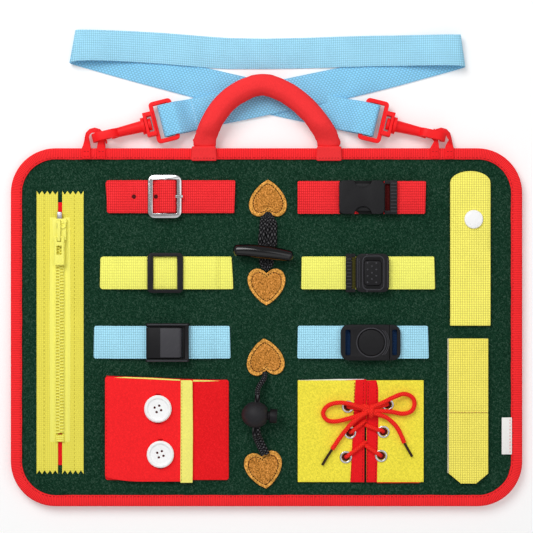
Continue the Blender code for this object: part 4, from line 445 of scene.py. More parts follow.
def smooth_path(points, per_span):
    """A Catmull-Rom curve through points."""
    held = [Vector(p) for p in points]
    held = [held[0] * 2 - held[1]] + held + [held[-1] * 2 - held[-2]]
    path = []
    for i in range(1, len(held) - 2):
        a, b, c, d = held[i - 1:i + 3]
        for step in range(per_span):
            t = step / per_span
            path.append((b * 2 + (c - a) * t + (a * 2 - b * 5 + c * 4 - d) * t * t
                         + (b * 3 - a - c * 3 + d) * t * t * t) / 2)
    path.append(held[-2])
    return path


def rounded_outline(low, high, radius, steps=8):
    """The corners of a rounded rectangle, anticlockwise."""
    points = []
    for cx, cy, start in ((high[0] - radius, high[1] - radius, 0), (low[0] + radius, high[1] - radius, 90),
                          (low[0] + radius, low[1] + radius, 180), (high[0] - radius, low[1] + radius, 270)):
        for i in range(steps + 1):
            a = math.radians(start + 90 * i / steps)
            points.append((cx + radius * math.cos(a), cy + radius * math.sin(a)))
    return points


def cord(name, path, radius, look, sides=3, closed=False, body="board", taper=None):
    """A round cord: a curve with a bevel made into a mesh, with a map of metres along and turns round."""
    rest()
    places = [Vector(p) for p in path]
    length = run_of(places)
    if closed:
        length += (places[0] - places[-1]).length
    bpy.ops.curve.primitive_bezier_curve_add()
    bpy.context.object.name = name
    curve = bpy.context.object.data
    curve.splines.clear()
    spline = curve.splines.new("POLY")
    spline.points.add(len(places) - 1)
    for i, (point, place) in enumerate(zip(spline.points, places)):
        point.co = (*place, 1)
        if taper:
            point.radius = taper(i / (len(places) - 1))
    spline.use_cyclic_u = closed
    spline.use_smooth = True
    curve.dimensions = "3D"
    curve.bevel_depth = radius
    curve.bevel_resolution = sides
    curve.use_fill_caps = not closed
    bpy.ops.object.convert(target="MESH")
    piece = bpy.context.object
    open_all()
    bpy.ops.mesh.normals_make_consistent(inside=False)
    close()
    layer = piece.data.uv_layers.active or piece.data.uv_layers.new()
    layer.name = "along"
    for entry in layer.data:
        entry.uv = (entry.uv[0] * length, entry.uv[1])
    settle(piece, look, 60)
    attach(piece, body)
    return piece


def ribs(name, x0, x1, rows, level, thick=0.00042, look="plastic_rim_highlight", body="board"):
    """Small raised ribs along X, one at each place on Y, by default in the lighter grey of painted highlight."""
    for k, y in enumerate(rows):
        cord(f"{name}_{k}", [(x0, y, level), (x1, y, level)], thick, look, 2, body=body)


def dense(stations, step):
    """More stations on the way between given ones, no further apart than a step."""
    rows = [(Vector(a), Vector(b).normalized()) for a, b in stations]
    made = [rows[0]]
    for (place, across), (after, turned) in zip(rows, rows[1:]):
        count = max(1, math.ceil((after - place).length / step))
        for i in range(1, count + 1):
            made.append((place.lerp(after, i / count), across.lerp(turned, i / count).normalized()))
    return made


def strap_rows(name, rows, thick, look, body="board", nodes=(), soft=0.00030):
    """A woven strap from (centre, across, width) rows: an edge extruded along them, then thickened."""
    rest()
    ends = [(place - across * wide / 2, place + across * wide / 2) for place, across, wide in rows]
    bpy.ops.mesh.primitive_plane_add(size=1)
    piece = bpy.context.object
    piece.name = name
    bpy.ops.object.mode_set(mode="EDIT")
    shape = bmesh.from_edit_mesh(piece.data)
    corners = sorted(shape.verts, key=lambda v: (round(v.co.x, 4), v.co.y))
    for corner, place in zip(corners, (*ends[0], *ends[1])):
        corner.co = place
        corner.select = False
    bpy.ops.mesh.select_all(action="DESELECT")
    bpy.context.tool_settings.mesh_select_mode = (True, False, False)
    for corner in corners[2:]:
        corner.select = True
    shape.select_flush(True)
    bmesh.update_edit_mesh(piece.data)
    bpy.context.tool_settings.mesh_select_mode = (False, True, False)
    for (low, high), (after_low, after_high) in zip(ends[1:], ends[2:]):
        bpy.ops.mesh.extrude_region_move(TRANSFORM_OT_translate={"value": (after_low + after_high - low - high) / 2})
        shape = bmesh.from_edit_mesh(piece.data)
        middle = (after_low + after_high) / 2
        for corner in (v for v in shape.verts if v.select):
            ahead = (corner.co - middle).dot(high - low)
            corner.co = after_high if ahead > 0 else after_low
        bmesh.update_edit_mesh(piece.data)
    close()
    map_along(piece, rows, ends)
    add_modifier(piece, "SOLIDIFY", thickness=thick, offset=0, use_even_offset=True)
    round_edges(piece, soft, 2, 60)
    settle(piece, look, 50)
    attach(piece, body)
    if nodes:
        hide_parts(*nodes)
    return piece


def map_along(piece, rows, ends):
    """Lays a map of metres along and across on a strap made row by row."""
    reach, table = 0.0, {}
    for i, (pair, (place, _, wide)) in enumerate(zip(ends, rows)):
        if i:
            reach += (place - rows[i - 1][0]).length
        for sign, end in zip((-1, 1), pair):
            table.setdefault(tuple(round(c, 5) for c in end), (reach, sign * wide / 2))
    layer = piece.data.uv_layers.active or piece.data.uv_layers.new()
    layer.name = "along"
    for loop in piece.data.loops:
        key = tuple(round(c, 5) for c in piece.data.vertices[loop.vertex_index].co)
        layer.data[loop.index].uv = table.get(key, (0, 0))


# Small shapes repeated in one mesh


def shape_of(pattern):
    """The corners and faces of a small shape, which is then taken away."""
    corners = [v.co.copy() for v in pattern.data.vertices]
    faces = [tuple(f.vertices) for f in pattern.data.polygons]
    data = pattern.data
    bpy.data.objects.remove(pattern)
    bpy.data.meshes.remove(data)
    return corners, faces


def copies(name, rows, faces):
    """One mesh of many copies: the same faces on each row of corners."""
    size = len(rows[0])
    mesh = bpy.data.meshes.new(name)
    mesh.from_pydata([corner for row in rows for corner in row], [],
                     [tuple(i * size + k for k in face) for i in range(len(rows)) for face in faces])
    return new_piece(name, mesh)


def repeat(name, pattern, places, look, body):
    """One small shape repeated at places."""
    corners, faces = shape_of(pattern)
    piece = copies(name, [[place + c for c in corners] for place in places], faces)
    settle(piece, look, 40)
    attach(piece, body)
    return piece


def bead(radius, height):
    """A small low dome."""
    rest()
    bpy.ops.mesh.primitive_uv_sphere_add(segments=8, ring_count=5, radius=radius)
    bpy.ops.transform.resize(value=(1, 1, height / radius))
    return placed("bead")


STITCH_WANDER = 0.06


def stitch_row(name, path, look, body="board", pitch=None, length=None, lift=0.0, thick=None,
               closed=False):
    """Sewn stitches along a path on a surface: one stitch shaped once and repeated in one mesh."""
    sizes = bpy.context.scene.board_sizes
    pitch, length, thick = pitch or sizes.stitch_pitch, length or sizes.stitch_length, thick or sizes.thread
    rest()
    bpy.ops.mesh.primitive_uv_sphere_add(segments=6, ring_count=4, radius=0.5)
    bpy.ops.transform.resize(value=(length, thick, thick))
    corners, faces = shape_of(placed("stitch"))
    places = [Vector(p) for p in path]
    if closed:
        places.append(places[0])
    total = run_of(places)
    count = max(1, round(total / pitch))
    rng = random.Random(len(places) * 7919 + count)
    rows = []
    for i in range(count):
        goal = total * (i + 0.5) / count
        for a, b in zip(places, places[1:]):
            span = (b - a).length
            if goal <= span or b is places[-1]:
                break
            goal -= span
        ahead = (b - a).normalized()
        centre = a + ahead * min(goal, span) + Vector((0, 0, lift))
        side = Vector((0, 0, 1)).cross(ahead)
        side = side.normalized() if side.length > 0.01 else Vector((0, 1, 0))
        ahead = (ahead + side * rng.uniform(-STITCH_WANDER, STITCH_WANDER)).normalized()
        side = Vector((0, 0, 1)).cross(ahead).normalized() if abs(ahead.z) < 0.99 else side
        up = ahead.cross(side)
        rows.append([centre + ahead * c.x + side * c.y + up * c.z for c in corners])
    piece = copies(name, rows, faces)
    piece.data.polygons.foreach_set("use_smooth", [True] * len(piece.data.polygons))
    paint(piece, look)
    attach(piece, body)
    return piece


# Effects. Each is a node group that gives only colours, values and normals

COLOUR, VALUE, VECTOR = "NodeSocketColor", "NodeSocketFloat", "NodeSocketVector"


def group(name, amounts, *more):
    """A new group: a colour, a place and its amounts go in, and a colour and a normal come out."""
    tree = bpy.data.node_groups.new(name, "ShaderNodeTree")
    for label, kind in (("Colour", COLOUR), ("Place", VECTOR)):
        tree.interface.new_socket(name=label, in_out="INPUT", socket_type=kind)
    for label, value in amounts.items():
        tree.interface.new_socket(name=label, in_out="INPUT", socket_type=VALUE).default_value = value
    for label, kind in (("Colour", COLOUR), ("Normal", VECTOR), *more):
        tree.interface.new_socket(name=label, in_out="OUTPUT", socket_type=kind)
    return tree, tree.nodes.new("NodeGroupInput").outputs, tree.nodes.new("NodeGroupOutput").inputs


def node(tree, kind, **values):
    made = tree.nodes.new(kind)
    for key, value in values.items():
        setattr(made, key, value)
    return made


def maths(tree, what, a, b=None, clamp=False):
    made = node(tree, "ShaderNodeMath", operation=what, use_clamp=clamp)
    for socket, value in zip(made.inputs, (a, b)):
        if isinstance(value, (int, float)):
            socket.default_value = value
        elif value is not None:
            tree.links.new(value, socket)
    return made.outputs[0]


def plus(tree, a, b):
    return maths(tree, "ADD", a, b)


def less(tree, a, b):
    return maths(tree, "SUBTRACT", a, b)


def times(tree, a, b):
    return maths(tree, "MULTIPLY", a, b)


def ridges(tree, value):
    """A row of round ridges, one for each whole number that a value passes."""
    return maths(tree, "ABSOLUTE", maths(tree, "SINE", times(tree, value, math.pi)))


def mixed(tree, share, a, b, how="MIX"):
    made = node(tree, "ShaderNodeMix", data_type="RGBA", blend_type=how)
    for socket, value in ((made.inputs[0], share), (made.inputs[6], a), (made.inputs[7], b)):
        if isinstance(value, (int, float)):
            socket.default_value = value
        elif isinstance(value, (tuple, list)):
            socket.default_value = (*value[:3], 1)
        else:
            tree.links.new(value, socket)
    return made.outputs[2]


def noise(tree, where, scale, detail=2.0, rough=0.5, distort=0.0):
    made = node(tree, "ShaderNodeTexNoise")
    tree.links.new(where, made.inputs["Vector"])
    for label, value in (("Scale", scale), ("Detail", detail), ("Roughness", rough), ("Distortion", distort)):
        made.inputs[label].default_value = value
    return made.outputs["Fac"]


def stretched(tree, where, scale, turn):
    """A place turned, then drawn closer by a scale along each of its turned axes."""
    made = node(tree, "ShaderNodeMapping", vector_type="TEXTURE")
    tree.links.new(where, made.inputs["Vector"])
    made.inputs["Scale"].default_value = [1 / share for share in scale]
    made.inputs["Rotation"].default_value = (0, 0, turn)
    return made.outputs[0]


def ranged(tree, value, low, high):
    """A value drawn out so that low becomes 0 and high becomes 1."""
    made = node(tree, "ShaderNodeMapRange")
    tree.links.new(value, made.inputs["Value"])
    for socket, amount in zip(made.inputs[1:5], (low, high, 0.0, 1.0)):
        socket.default_value = amount
    return made.outputs[0]


def shaded(tree, given, share, middle=0.5):
    """The given colour, darker or lighter by the given mottle as a share falls below or rises above its middle, and
    mixed a little towards white where it rises: a painted highlight.
    """
    swing = times(tree, less(tree, share, middle), 2.0)
    deep = times(tree, swing, given["Mottle"])
    tinted = mixed(tree, 1.0, given["Colour"], maths(tree, "MAXIMUM", plus(tree, 1.0, deep), 0.05), "MULTIPLY")
    # Painted highlight: the colour whitened a little where the share rises above its middle
    return mixed(tree, maths(tree, "MULTIPLY", deep, 0.07, clamp=True), tinted, (1, 1, 1))


def finish_group(tree, given, made, colour, height, distance):
    """Sends the colour out, and the height as a normal through a Bump node."""
    tree.links.new(colour, made["Colour"])
    bump = node(tree, "ShaderNodeBump")
    tree.links.new(height, bump.inputs["Height"])
    tree.links.new(given["Depth"], bump.inputs["Strength"])
    bump.inputs["Distance"].default_value = distance
    tree.links.new(bump.outputs[0], made["Normal"])
    return tree


def felt_group():
    """Pressed felt: short fibres in every direction, small clots and faint wide shading."""
    tree, given, made = group("Felt", {"Mottle": 0.2, "Depth": 0.5})
    place = given["Place"]
    fibres = None
    for turn, wide in ((0.30, 400), (-0.50, 430), (1.15, 410)):
        line = noise(tree, stretched(tree, place, (3.2, 1, 1), turn), wide, 2.0, 0.6, 0.5)
        fibres = line if fibres is None else maths(tree, "MAXIMUM", fibres, line)
    clots = noise(tree, place, 900, 3.0, 0.65)
    broad = noise(tree, place, 42, 3.0, 0.6)
    height = plus(tree, times(tree, fibres, 0.7), times(tree, clots, 0.4))
    shade = plus(tree, times(tree, ranged(tree, height, 0.50, 0.72), 0.8), times(tree, broad, 0.25))
    return finish_group(tree, given, made, shaded(tree, given, shade, 0.52), height, 0.0006)


def weave_group():
    """Woven tape on a map of metres: ribs across, and raised yarns in a plain, basket or brick weave."""
    tree, given, made = group("Weave", {"Pitch along": 0.0012, "Pitch across": 0.0012, "Basket": 1.0, "Brick": 0.0,
                                        "Mottle": 0.2, "Depth": 0.6})
    place = given["Place"]
    split = node(tree, "ShaderNodeSeparateXYZ")
    tree.links.new(place, split.inputs[0])
    shift = times(tree, less(tree, noise(tree, place, 900), 0.5), 0.0003)
    u = maths(tree, "DIVIDE", plus(tree, split.outputs[0], shift), given["Pitch along"])
    v = maths(tree, "DIVIDE", plus(tree, split.outputs[1], shift), given["Pitch across"])
    offset = times(tree, maths(tree, "FLOOR", v), given["Brick"])
    across = ridges(tree, plus(tree, u, offset))
    cell = maths(tree, "POWER", times(tree, across, ridges(tree, v)), 0.6)
    rib = times(tree, across, less(tree, 1.0, given["Basket"]))
    yarns = plus(tree, times(tree, cell, given["Basket"]), rib)
    height = plus(tree, times(tree, yarns, 0.8), times(tree, noise(tree, place, 1800, 3.0, 0.6), 0.4))
    shade = plus(tree, times(tree, height, 0.8), times(tree, noise(tree, place, 60), 0.2))
    return finish_group(tree, given, made, shaded(tree, given, shade, 0.68), height, 0.0005)


def moulded_group():
    """Moulded or plated surface: fine texture, handling marks and slight unevenness of shine."""
    tree, given, made = group("Moulded", {"Rough": 0.4, "Mottle": 0.10, "Depth": 0.2}, ("Roughness", VALUE))
    place = given["Place"]
    marks = noise(tree, stretched(tree, place, (1, 5, 2), 0.7), 190, 4.0, 0.6, 0.4)
    share = times(tree, plus(tree, ranged(tree, marks, 0.40, 0.80), noise(tree, place, 45)), 0.5)
    rough = maths(tree, "ADD", given["Rough"], times(tree, less(tree, marks, 0.5), 0.16), clamp=True)
    tree.links.new(rough, made["Roughness"])
    return finish_group(tree, given, made, shaded(tree, given, share), noise(tree, place, 2600), 0.0002)


def yarn_group():
    """Twisted or braided yarn on a map of metres along and turns round."""
    tree, given, made = group("Yarn", {"Pitch": 0.0022, "Strands": 4.0, "Braid": 1.0, "Mottle": 0.3, "Depth": 0.8})
    split = node(tree, "ShaderNodeSeparateXYZ")
    tree.links.new(given["Place"], split.inputs[0])
    u = maths(tree, "DIVIDE", split.outputs[0], given["Pitch"])
    v = times(tree, split.outputs[1], given["Strands"])
    one = ridges(tree, plus(tree, u, v))
    both = times(tree, one, ridges(tree, less(tree, u, v)))
    height = node(tree, "ShaderNodeMix", data_type="FLOAT")
    for socket, value in zip(height.inputs[:1] + height.inputs[2:4], (given["Braid"], one, both)):
        tree.links.new(value, socket)
    return finish_group(tree, given, made, shaded(tree, given, height.outputs[0], 0.4), height.outputs[0], 0.0005)


GROUPS = {"Felt": felt_group, "Weave": weave_group, "Moulded": moulded_group, "Yarn": yarn_group}

# Each finish: its kind, its colour's name, the record's slot, and the kind's amounts in the group's order
LOOKS = {
    # Felt: mottle, depth
    "felt_green": ("Felt", "felt_green", "green_felt", (0.58, 0.50)),
    "felt_red": ("Felt", "felt_red", "red_tape", (0.12, 0.25)),
    "felt_red_painted_light": ("Felt", "felt_red_painted_light", "red_tape", (0.10, 0.20)),
    "felt_yellow": ("Felt", "felt_yellow", "yellow_felt", (0.20, 0.35)),
    "felt_trim": ("Felt", "felt_trim", "yellow_felt", (0.08, 0.25)),
    "felt_tan": ("Felt", "felt_tan", "tan_felt", (0.80, 0.60)),
    "tape_red": ("Felt", "tape_red", "red_tape", (0.08, 0.14)),
    "tag_white": ("Felt", "tag_white", "white_plastic", (0.04, 0.12)),
    "hook_pale": ("Felt", "hook_pale", "pale_hook", (0.25, 0.80)),
    "handle_red": ("Felt", "handle_red", "red_tape", (0.05, 0.10)),
    "board_grey": ("Felt", "board_grey", "grey_core", (0.10, 0.20)),
    # Weave: pitch along, pitch across, basket, brick, mottle, depth
    "tape_edge": ("Weave", "tape_red", "red_tape", (0.00140, 0.05, 0.0, 0.0, 0.32, 0.35)),
    "web_sling": ("Weave", "web_blue", "blue_webbing", (0.0015, 0.0018, 0.85, 0.0, 0.34, 0.6)),
    "web_sling_deep": ("Weave", "web_blue_deep", "blue_webbing", (0.0027, 0.0017, 0.8, 0.5, 0.38, 0.5)),
    "web_red": ("Weave", "web_red", "red_tape", (0.0016, 0.0020, 0.9, 0.0, 0.45, 0.6)),
    "web_yellow": ("Weave", "web_yellow", "yellow_webbing", (0.0017, 0.0021, 0.9, 0.0, 0.24, 0.6)),
    "web_snap": ("Weave", "web_snap", "yellow_webbing", (0.0018, 0.0018, 0.9, 0.0, 0.42, 0.5)),
    "web_grip": ("Weave", "web_grip", "yellow_webbing", (0.0018, 0.0018, 0.9, 0.0, 0.42, 0.5)),
    "web_blue": ("Weave", "web_row_blue", "blue_webbing", (0.0017, 0.0019, 0.9, 0.0, 0.40, 0.6)),
    "slot_yellow_painted_shade": ("Weave", "slot_yellow_painted_shade", "yellow_webbing", (0.0012, 0.0012, 1.0, 0.0, 0.40, 0.6)),
    "slot_red_painted_shade": ("Weave", "hole_deep", "red_tape", (0.0012, 0.0012, 1.0, 0.0, 0.40, 0.6)),
    "slot_blue_painted_shade": ("Weave", "slot_blue_painted_shade", "blue_webbing", (0.0012, 0.0012, 1.0, 0.0, 0.40, 0.6)),
    "zip_yellow": ("Weave", "zip_yellow", "yellow_felt", (0.0016, 0.0016, 0.8, 0.0, 0.18, 0.30)),
    "zip_pale": ("Weave", "zip_pale", "yellow_felt", (0.0013, 0.0013, 0.8, 0.0, 0.06, 0.15)),
    "zip_shade": ("Weave", "zip_shade", "yellow_felt", (0.0012, 0.0012, 1.0, 0.0, 0.10, 0.6)),
    # Moulded: roughness, mottle, depth
    "zip_tooth": ("Moulded", "zip_pale", "yellow_felt", (0.5, 0.05, 0.1)),
    "zip_metal": ("Moulded", "metal_bright", "silver", (0.35, 0.5, 0.1)),
    "plastic_black": ("Moulded", "plastic_black", "black_plastic", (0.50, 0.15, 0.30)),
    "plastic_painted_shade": ("Moulded", "plastic_painted_shade", "black_plastic", (0.70, 0.15, 0.20)),
    "plastic_grey": ("Moulded", "plastic_grey", "black_plastic", (0.58, 0.15, 0.30)),
    "plastic_rim_highlight": ("Moulded", "plastic_rim_highlight", "black_plastic", (0.50, 0.15, 0.20)),
    "plastic_toggle": ("Moulded", "toggle_black", "black_plastic", (0.11, 0.1, 0.03)),
    "plastic_red": ("Moulded", "plastic_red", "red_plastic", (0.52, 0.06, 0.15)),
    "plastic_white": ("Moulded", "plastic_white", "white_plastic", (0.36, 0.02, 0.05)),
    "hole_red_painted_shade": ("Moulded", "hole_deep", "red_tape", (0.8, 0.10, 0.1)),
    "lace_tip": ("Moulded", "lace_tip", "black_plastic", (0.40, 0.10, 0.1)),
    "metal_bright": ("Moulded", "metal_bright", "silver", (0.17, 0.20, 0.03)),
    # Yarn: pitch, strands, braid, mottle, depth
    "braid_black": ("Yarn", "cord_black", "black_cord", (0.0028, 3.0, 1.0, 1.0, 0.8)),
    "lace_red": ("Yarn", "lace_red", "red_tape", (0.0018, 5.0, 1.0, 0.20, 0.4)),
    "thread_red": ("Yarn", "tape_red", "red_tape", (0.0022, 4.0, 0.0, 0.2, 0.8)),
    "thread_orange": ("Yarn", "thread_orange", "yellow_webbing", (0.0022, 4.0, 0.0, 0.2, 0.8)),
    "thread_blue": ("Yarn", "thread_pale", "blue_webbing", (0.0022, 4.0, 0.0, 0.2, 0.8)),
    "thread_brown": ("Yarn", "thread_brown", "tan_felt", (0.0022, 4.0, 0.0, 0.1, 0.8)),
    "thread_dark_red": ("Yarn", "thread_dark_red", "red_tape", (0.0022, 4.0, 0.0, 0.1, 0.8)),
    "thread_yellow_dark": ("Yarn", "thread_yellow_dark", "yellow_felt", (0.0022, 4.0, 0.0, 0.1, 0.8)),
}

# The finishes whose pattern follows the piece's own map; the others read Object coordinates
MAPPED = {"web_sling", "web_sling_deep", "tape_edge", "braid_black", "lace_red"}
SHEEN_OF_GLOSS, SHEEN_OF_PLASTIC = 0.5, 0.24
CLOTH_SURFACE = {"Felt": (0.92, 0.06), "Weave": (0.82, 0.12), "Yarn": (0.82, 0.12)}


def finish(look):
    """The material of a finish, made once."""
    found = bpy.data.materials.get(look)
    if found:
        return found
    kind, colour, _, amounts = LOOKS[look]
    colours = bpy.context.scene.board_colours
    tint = getattr(colours, colour)
    material = bpy.data.materials.new(look)
    material.use_nodes = True
    tree = material.node_tree
    shader = tree.nodes["Principled BSDF"].inputs
    effect = tree.nodes.new("ShaderNodeGroup")
    effect.node_tree = bpy.data.node_groups.get(kind) or GROUPS[kind]()
    effect.inputs["Colour"].default_value = (*tint, 1)
    for socket, value in zip(effect.inputs[2:], amounts):
        socket.default_value = value
    if look == "felt_tan":
        inner = node(tree, "ShaderNodeAttribute", attribute_name="inner").outputs["Fac"]
        tree.links.new(mixed(tree, inner, tuple(colours.felt_tan_rim), tuple(tint)), effect.inputs["Colour"])
    if look in MAPPED:
        where = node(tree, "ShaderNodeUVMap", uv_map="along").outputs[0]
    else:
        where = node(tree, "ShaderNodeTexCoord").outputs["Object"]
    tree.links.new(where, effect.inputs["Place"])
    tree.links.new(effect.outputs["Colour"], shader["Base Color"])
    tree.links.new(effect.outputs["Normal"], shader["Normal"])
    if kind == "Moulded":
        tree.links.new(effect.outputs["Roughness"], shader["Roughness"])
        shader["Metallic"].default_value = 1.0 if colour == "metal_bright" else 0.0
        glossy = look in ("plastic_white", "plastic_toggle")
        shader["Specular IOR Level"].default_value = SHEEN_OF_GLOSS if glossy else SHEEN_OF_PLASTIC
    else:
        shader["Roughness"].default_value, shader["Specular IOR Level"].default_value = CLOTH_SURFACE[kind]
    return material


# Panel


def bind_edge():
    """The red tape folded over the board's edge, swept round it, with small puckers at its stitches."""
    low, high = BOARD_LOW, BOARD_HIGH
    reach, thick, radius = 0.0088, TAPE_THICK, 0.035
    base = rounded_outline((low.x, low.y), (high.x, -low.y), radius, 14)
    path = []
    for a, b in zip(base, base[1:] + base[:1]):
        span = math.hypot(b[0] - a[0], b[1] - a[1])
        count = max(1, round(span / 0.0035))
        for i in range(count):
            path.append((a[0] + (b[0] - a[0]) * i / count, a[1] + (b[1] - a[1]) * i / count))
    top, bend = EDGE_TOP, 0.0012
    profile = [(reach, top - thick), (reach, top - 0.0003), (reach - 0.0004, top)]
    profile += [(bend, top), (bend * 0.3, top - bend * 0.3), (0, top - bend)]
    profile += [(0, bend), (bend * 0.3, bend * 0.3), (bend, 0)]
    profile += [(reach - 0.0004, 0), (reach, 0.0003), (reach, thick)]
    mesh = bpy.data.meshes.new("edge_tape")
    shape = bmesh.new()
    layer = shape.loops.layers.uv.new("along")
    rows, along = [], 0.0
    girth = [0.0]
    for a, b in zip(profile, profile[1:]):
        girth.append(girth[-1] + math.hypot(b[0] - a[0], b[1] - a[1]))
    count = len(path)
    for i, place in enumerate(path):
        before, after = path[i - 1], path[(i + 1) % count]
        ahead = Vector((after[0] - before[0], after[1] - before[1], 0)).normalized()
        inward = Vector((-ahead.y, ahead.x, 0))
        pucker = 0.00012 * math.sin(i * 2.1) + 0.00010 * wavy(place[0], place[1], 5)
        row = []
        for run, height in profile:
            inset = run / reach
            lift = pucker * inset * (1 if height > EDGE_TOP / 2 else 0)
            edge = 0.00025 * wavy(place[0] * 2.1, place[1] * 2.1, 8) if inset > 0.9 else 0
            row.append(shape.verts.new(Vector((place[0], place[1], height + lift)) + inward * (run + edge)))
        if i:
            along += math.hypot(place[0] - before[0], place[1] - before[1])
        rows.append((row, along))
    total = along + math.hypot(path[0][0] - path[-1][0], path[0][1] - path[-1][1])
    for i in range(count):
        (row, start), (after, end) = rows[i], rows[(i + 1) % count]
        end = end if i < count - 1 else total
        for k in range(len(profile) - 1):
            face = shape.faces.new((row[k], after[k], after[k + 1], row[k + 1]))
            for loop, uv in zip(face.loops, rectangle(start, girth[k], end, girth[k + 1])):
                loop[layer].uv = uv
    bmesh.ops.recalc_face_normals(shape, faces=shape.faces)
    shape.to_mesh(mesh)
    shape.free()
    piece = new_piece("edge_tape", mesh)
    add_modifier(piece, "SOLIDIFY", thickness=thick - 0.0003, offset=-1)
    apply_modifiers(piece)
    middle = sum((f.center.z - EDGE_TOP / 2) * f.normal.z * f.area for f in piece.data.polygons)
    if middle < 0:
        open_all()
        bpy.ops.mesh.flip_normals()
        close()
    settle(piece, "tape_edge", 50)
    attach(piece, "board")
    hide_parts("edge_binding")
    inner = rounded_outline((low.x + reach - 0.0012, low.y + reach - 0.0012),
                            (high.x - reach + 0.0012, -low.y - reach + 0.0012), radius - reach + 0.0012, 14)
    stitch_row("edge_stitches", [(x, y, EDGE_TOP) for x, y in inner], "thread_dark_red", closed=True,
               pitch=0.0030, length=0.0022, lift=0.00005)


def make_panel():
    """The two felts and the core between them, the edge tape and the side tag."""
    felt = cloth_copy("front_felt", "felt_green", cell=0.0045, soft=0.0006, waves=0.00022, seed=2)
    back = cloth_copy("back_felt", "felt_green", cell=0.012, soft=0.0006)
    refined("core_board", width=0.0003, segments=2, look="board_grey")
    bind_edge()
    make_tag()


def make_tag():
    """A small bare white tag folded over the right-hand edge tape."""
    rng = random.Random(4)
    rows = []
    y0, y1 = -0.0992, -0.0703
    for x, z in ((0.1836, EDGE_TOP + 0.0009), (0.1870, EDGE_TOP + 0.00085), (0.1900, EDGE_TOP + 0.0007),
                 (0.1916, EDGE_TOP + 0.0005)):
        rows.append((Vector((x, (y0 + y1) / 2, z)), Vector((0, 1, 0)), y1 - y0 + rng.uniform(-1, 1) * 0.0002))
    strap_rows("side_tag", rows, 0.0004, "tag_white", soft=0.0001)
    level = EDGE_TOP + 0.0010
    stitch_row("tag_stitches", [(0.1901, y0 + 0.0008, level), (0.1901, y1 - 0.0008, level)], "thread_red",
               pitch=0.0026)


# Handle

# How far the air may move the cover, and how its two roots on the board widen and flatten
PUFF_LIMIT = 0.0016
ROOT_REACH, ROOT_WIDENING, ROOT_FALL = 0.016, 0.14, 0.0022


def make_handle():
    """The padded tube handle: the solid's shape remeshed, filled with air as cloth, then creased."""
    piece = merged_copy("carry_handle", "handle_cover")
    add_modifier(piece, "REMESH", mode="VOXEL", voxel_size=0.0024)
    apply_modifiers(piece)
    centre = handle_line()
    for corner in piece.data.vertices:
        place, share = nearest_on(centre, corner.co)
        soft = min(1.0, min(share, 1 - share) / 0.10)
        corner.co = place.lerp(corner.co, 1 - 0.05 * soft)
    before = [corner.co.copy() for corner in piece.data.vertices]
    puff(piece, pressure=3.2, frames=14)
    low_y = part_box("carry_handle")[0].y
    for corner, was in zip(piece.data.vertices, before):
        move = corner.co - was
        if move.length > PUFF_LIMIT:
            corner.co = was + move.normalized() * PUFF_LIMIT
        corner.co.y = max(corner.co.y, low_y - 0.0002)
    crease(piece, centre)
    for corner in piece.data.vertices:
        near = max(0.0, 1 - (corner.co.y - BOARD_TOP_Y) / ROOT_REACH) ** 2
        middle = math.copysign(HANDLE_RADIUS, corner.co.x)
        corner.co.x = middle + (corner.co.x - middle) * (1 + ROOT_WIDENING * near)
        corner.co.z -= ROOT_FALL * near * max(0.0, (corner.co.z - HANDLE_Z) / 0.0090)
    add_modifier(piece, "SUBSURF", levels=1, render_levels=1)
    apply_modifiers(piece)
    settle(piece, "handle_red", 180)
    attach(piece, "handle")
    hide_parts("carry_handle")
    make_handle_ends()


def handle_line():
    """The middle of the handle from one end to the other."""
    shares = ((-1.00, 0.00), (-0.985, 0.12), (-0.94, 0.25), (-0.83, 0.48), (-0.645, 0.72), (-0.39, 0.90),
              (-0.08, 1.00), (0.215, 0.92), (0.48, 0.76), (0.74, 0.51), (0.92, 0.26), (0.99, 0.12), (1.00, 0.00))
    start = BOARD_TOP_Y + GAP
    return smooth_path([(x * HANDLE_RADIUS, start + y * HANDLE_RADIUS, HANDLE_Z) for x, y in shares], 6)


def nearest_on(line, place):
    """The nearest point of a line, and how far along it that is, as a share."""
    best, found, share = 1e9, None, 0.0
    for i, (a, b) in enumerate(zip(line, line[1:])):
        t = max(0.0, min(1.0, (place - a).dot(b - a) / (b - a).length_squared))
        at = a.lerp(b, t)
        gap = (place - at).length_squared
        if gap < best:
            best, found, share = gap, at, (i + t) / (len(line) - 1)
    return found, share


def crease(piece, line):
    """Faint folds square to the tube, deeper on the inside of its bends, and a slight unevenness."""
    rng = random.Random(11)
    folds = [(rng.uniform(0.05, 0.95), rng.uniform(0.004, 0.010), rng.uniform(0.00018, 0.00050),
              rng.uniform(-0.5, 0.5)) for _ in range(26)]
    middle = Vector((0, BOARD_TOP_Y, HANDLE_Z))
    for corner in piece.data.vertices:
        at, share = nearest_on(line, corner.co)
        out = corner.co - at
        if out.length < 1e-6:
            continue
        inner = max(0.0, out.normalized().dot((middle - at).normalized()))
        dent = 0.0
        for place, wide, deep, lean in folds:
            run = (share + lean * out.z * 3 - place) / wide
            dent += deep * math.exp(-run * run) * (0.35 + 0.65 * inner)
        dent += 0.00012 * (wavy(corner.co.x * 1.7, corner.co.y * 1.7 + corner.co.z, 21) + 0.4)
        corner.co -= out.normalized() * dent


def puff(piece, pressure, frames):
    """Fills a closed cloth with air for a moment, held by its own weave."""
    pick(piece)
    cloth = piece.modifiers.new("cloth", "CLOTH")
    for key, value in (("quality", 5), ("mass", 0.2), ("tension_stiffness", 18), ("compression_stiffness", 12),
                       ("shear_stiffness", 6), ("bending_stiffness", 0.6), ("use_pressure", True),
                       ("uniform_pressure_force", pressure)):
        setattr(cloth.settings, key, value)
    cloth.settings.effector_weights.gravity = 0
    cloth.collision_settings.use_collision = False
    cloth.point_cache.frame_start = 1
    cloth.point_cache.frame_end = frames
    scene = bpy.context.scene
    for number in range(1, frames + 1):
        scene.frame_set(number)
    bpy.ops.object.modifier_apply(modifier=cloth.name)
    scene.frame_set(1)


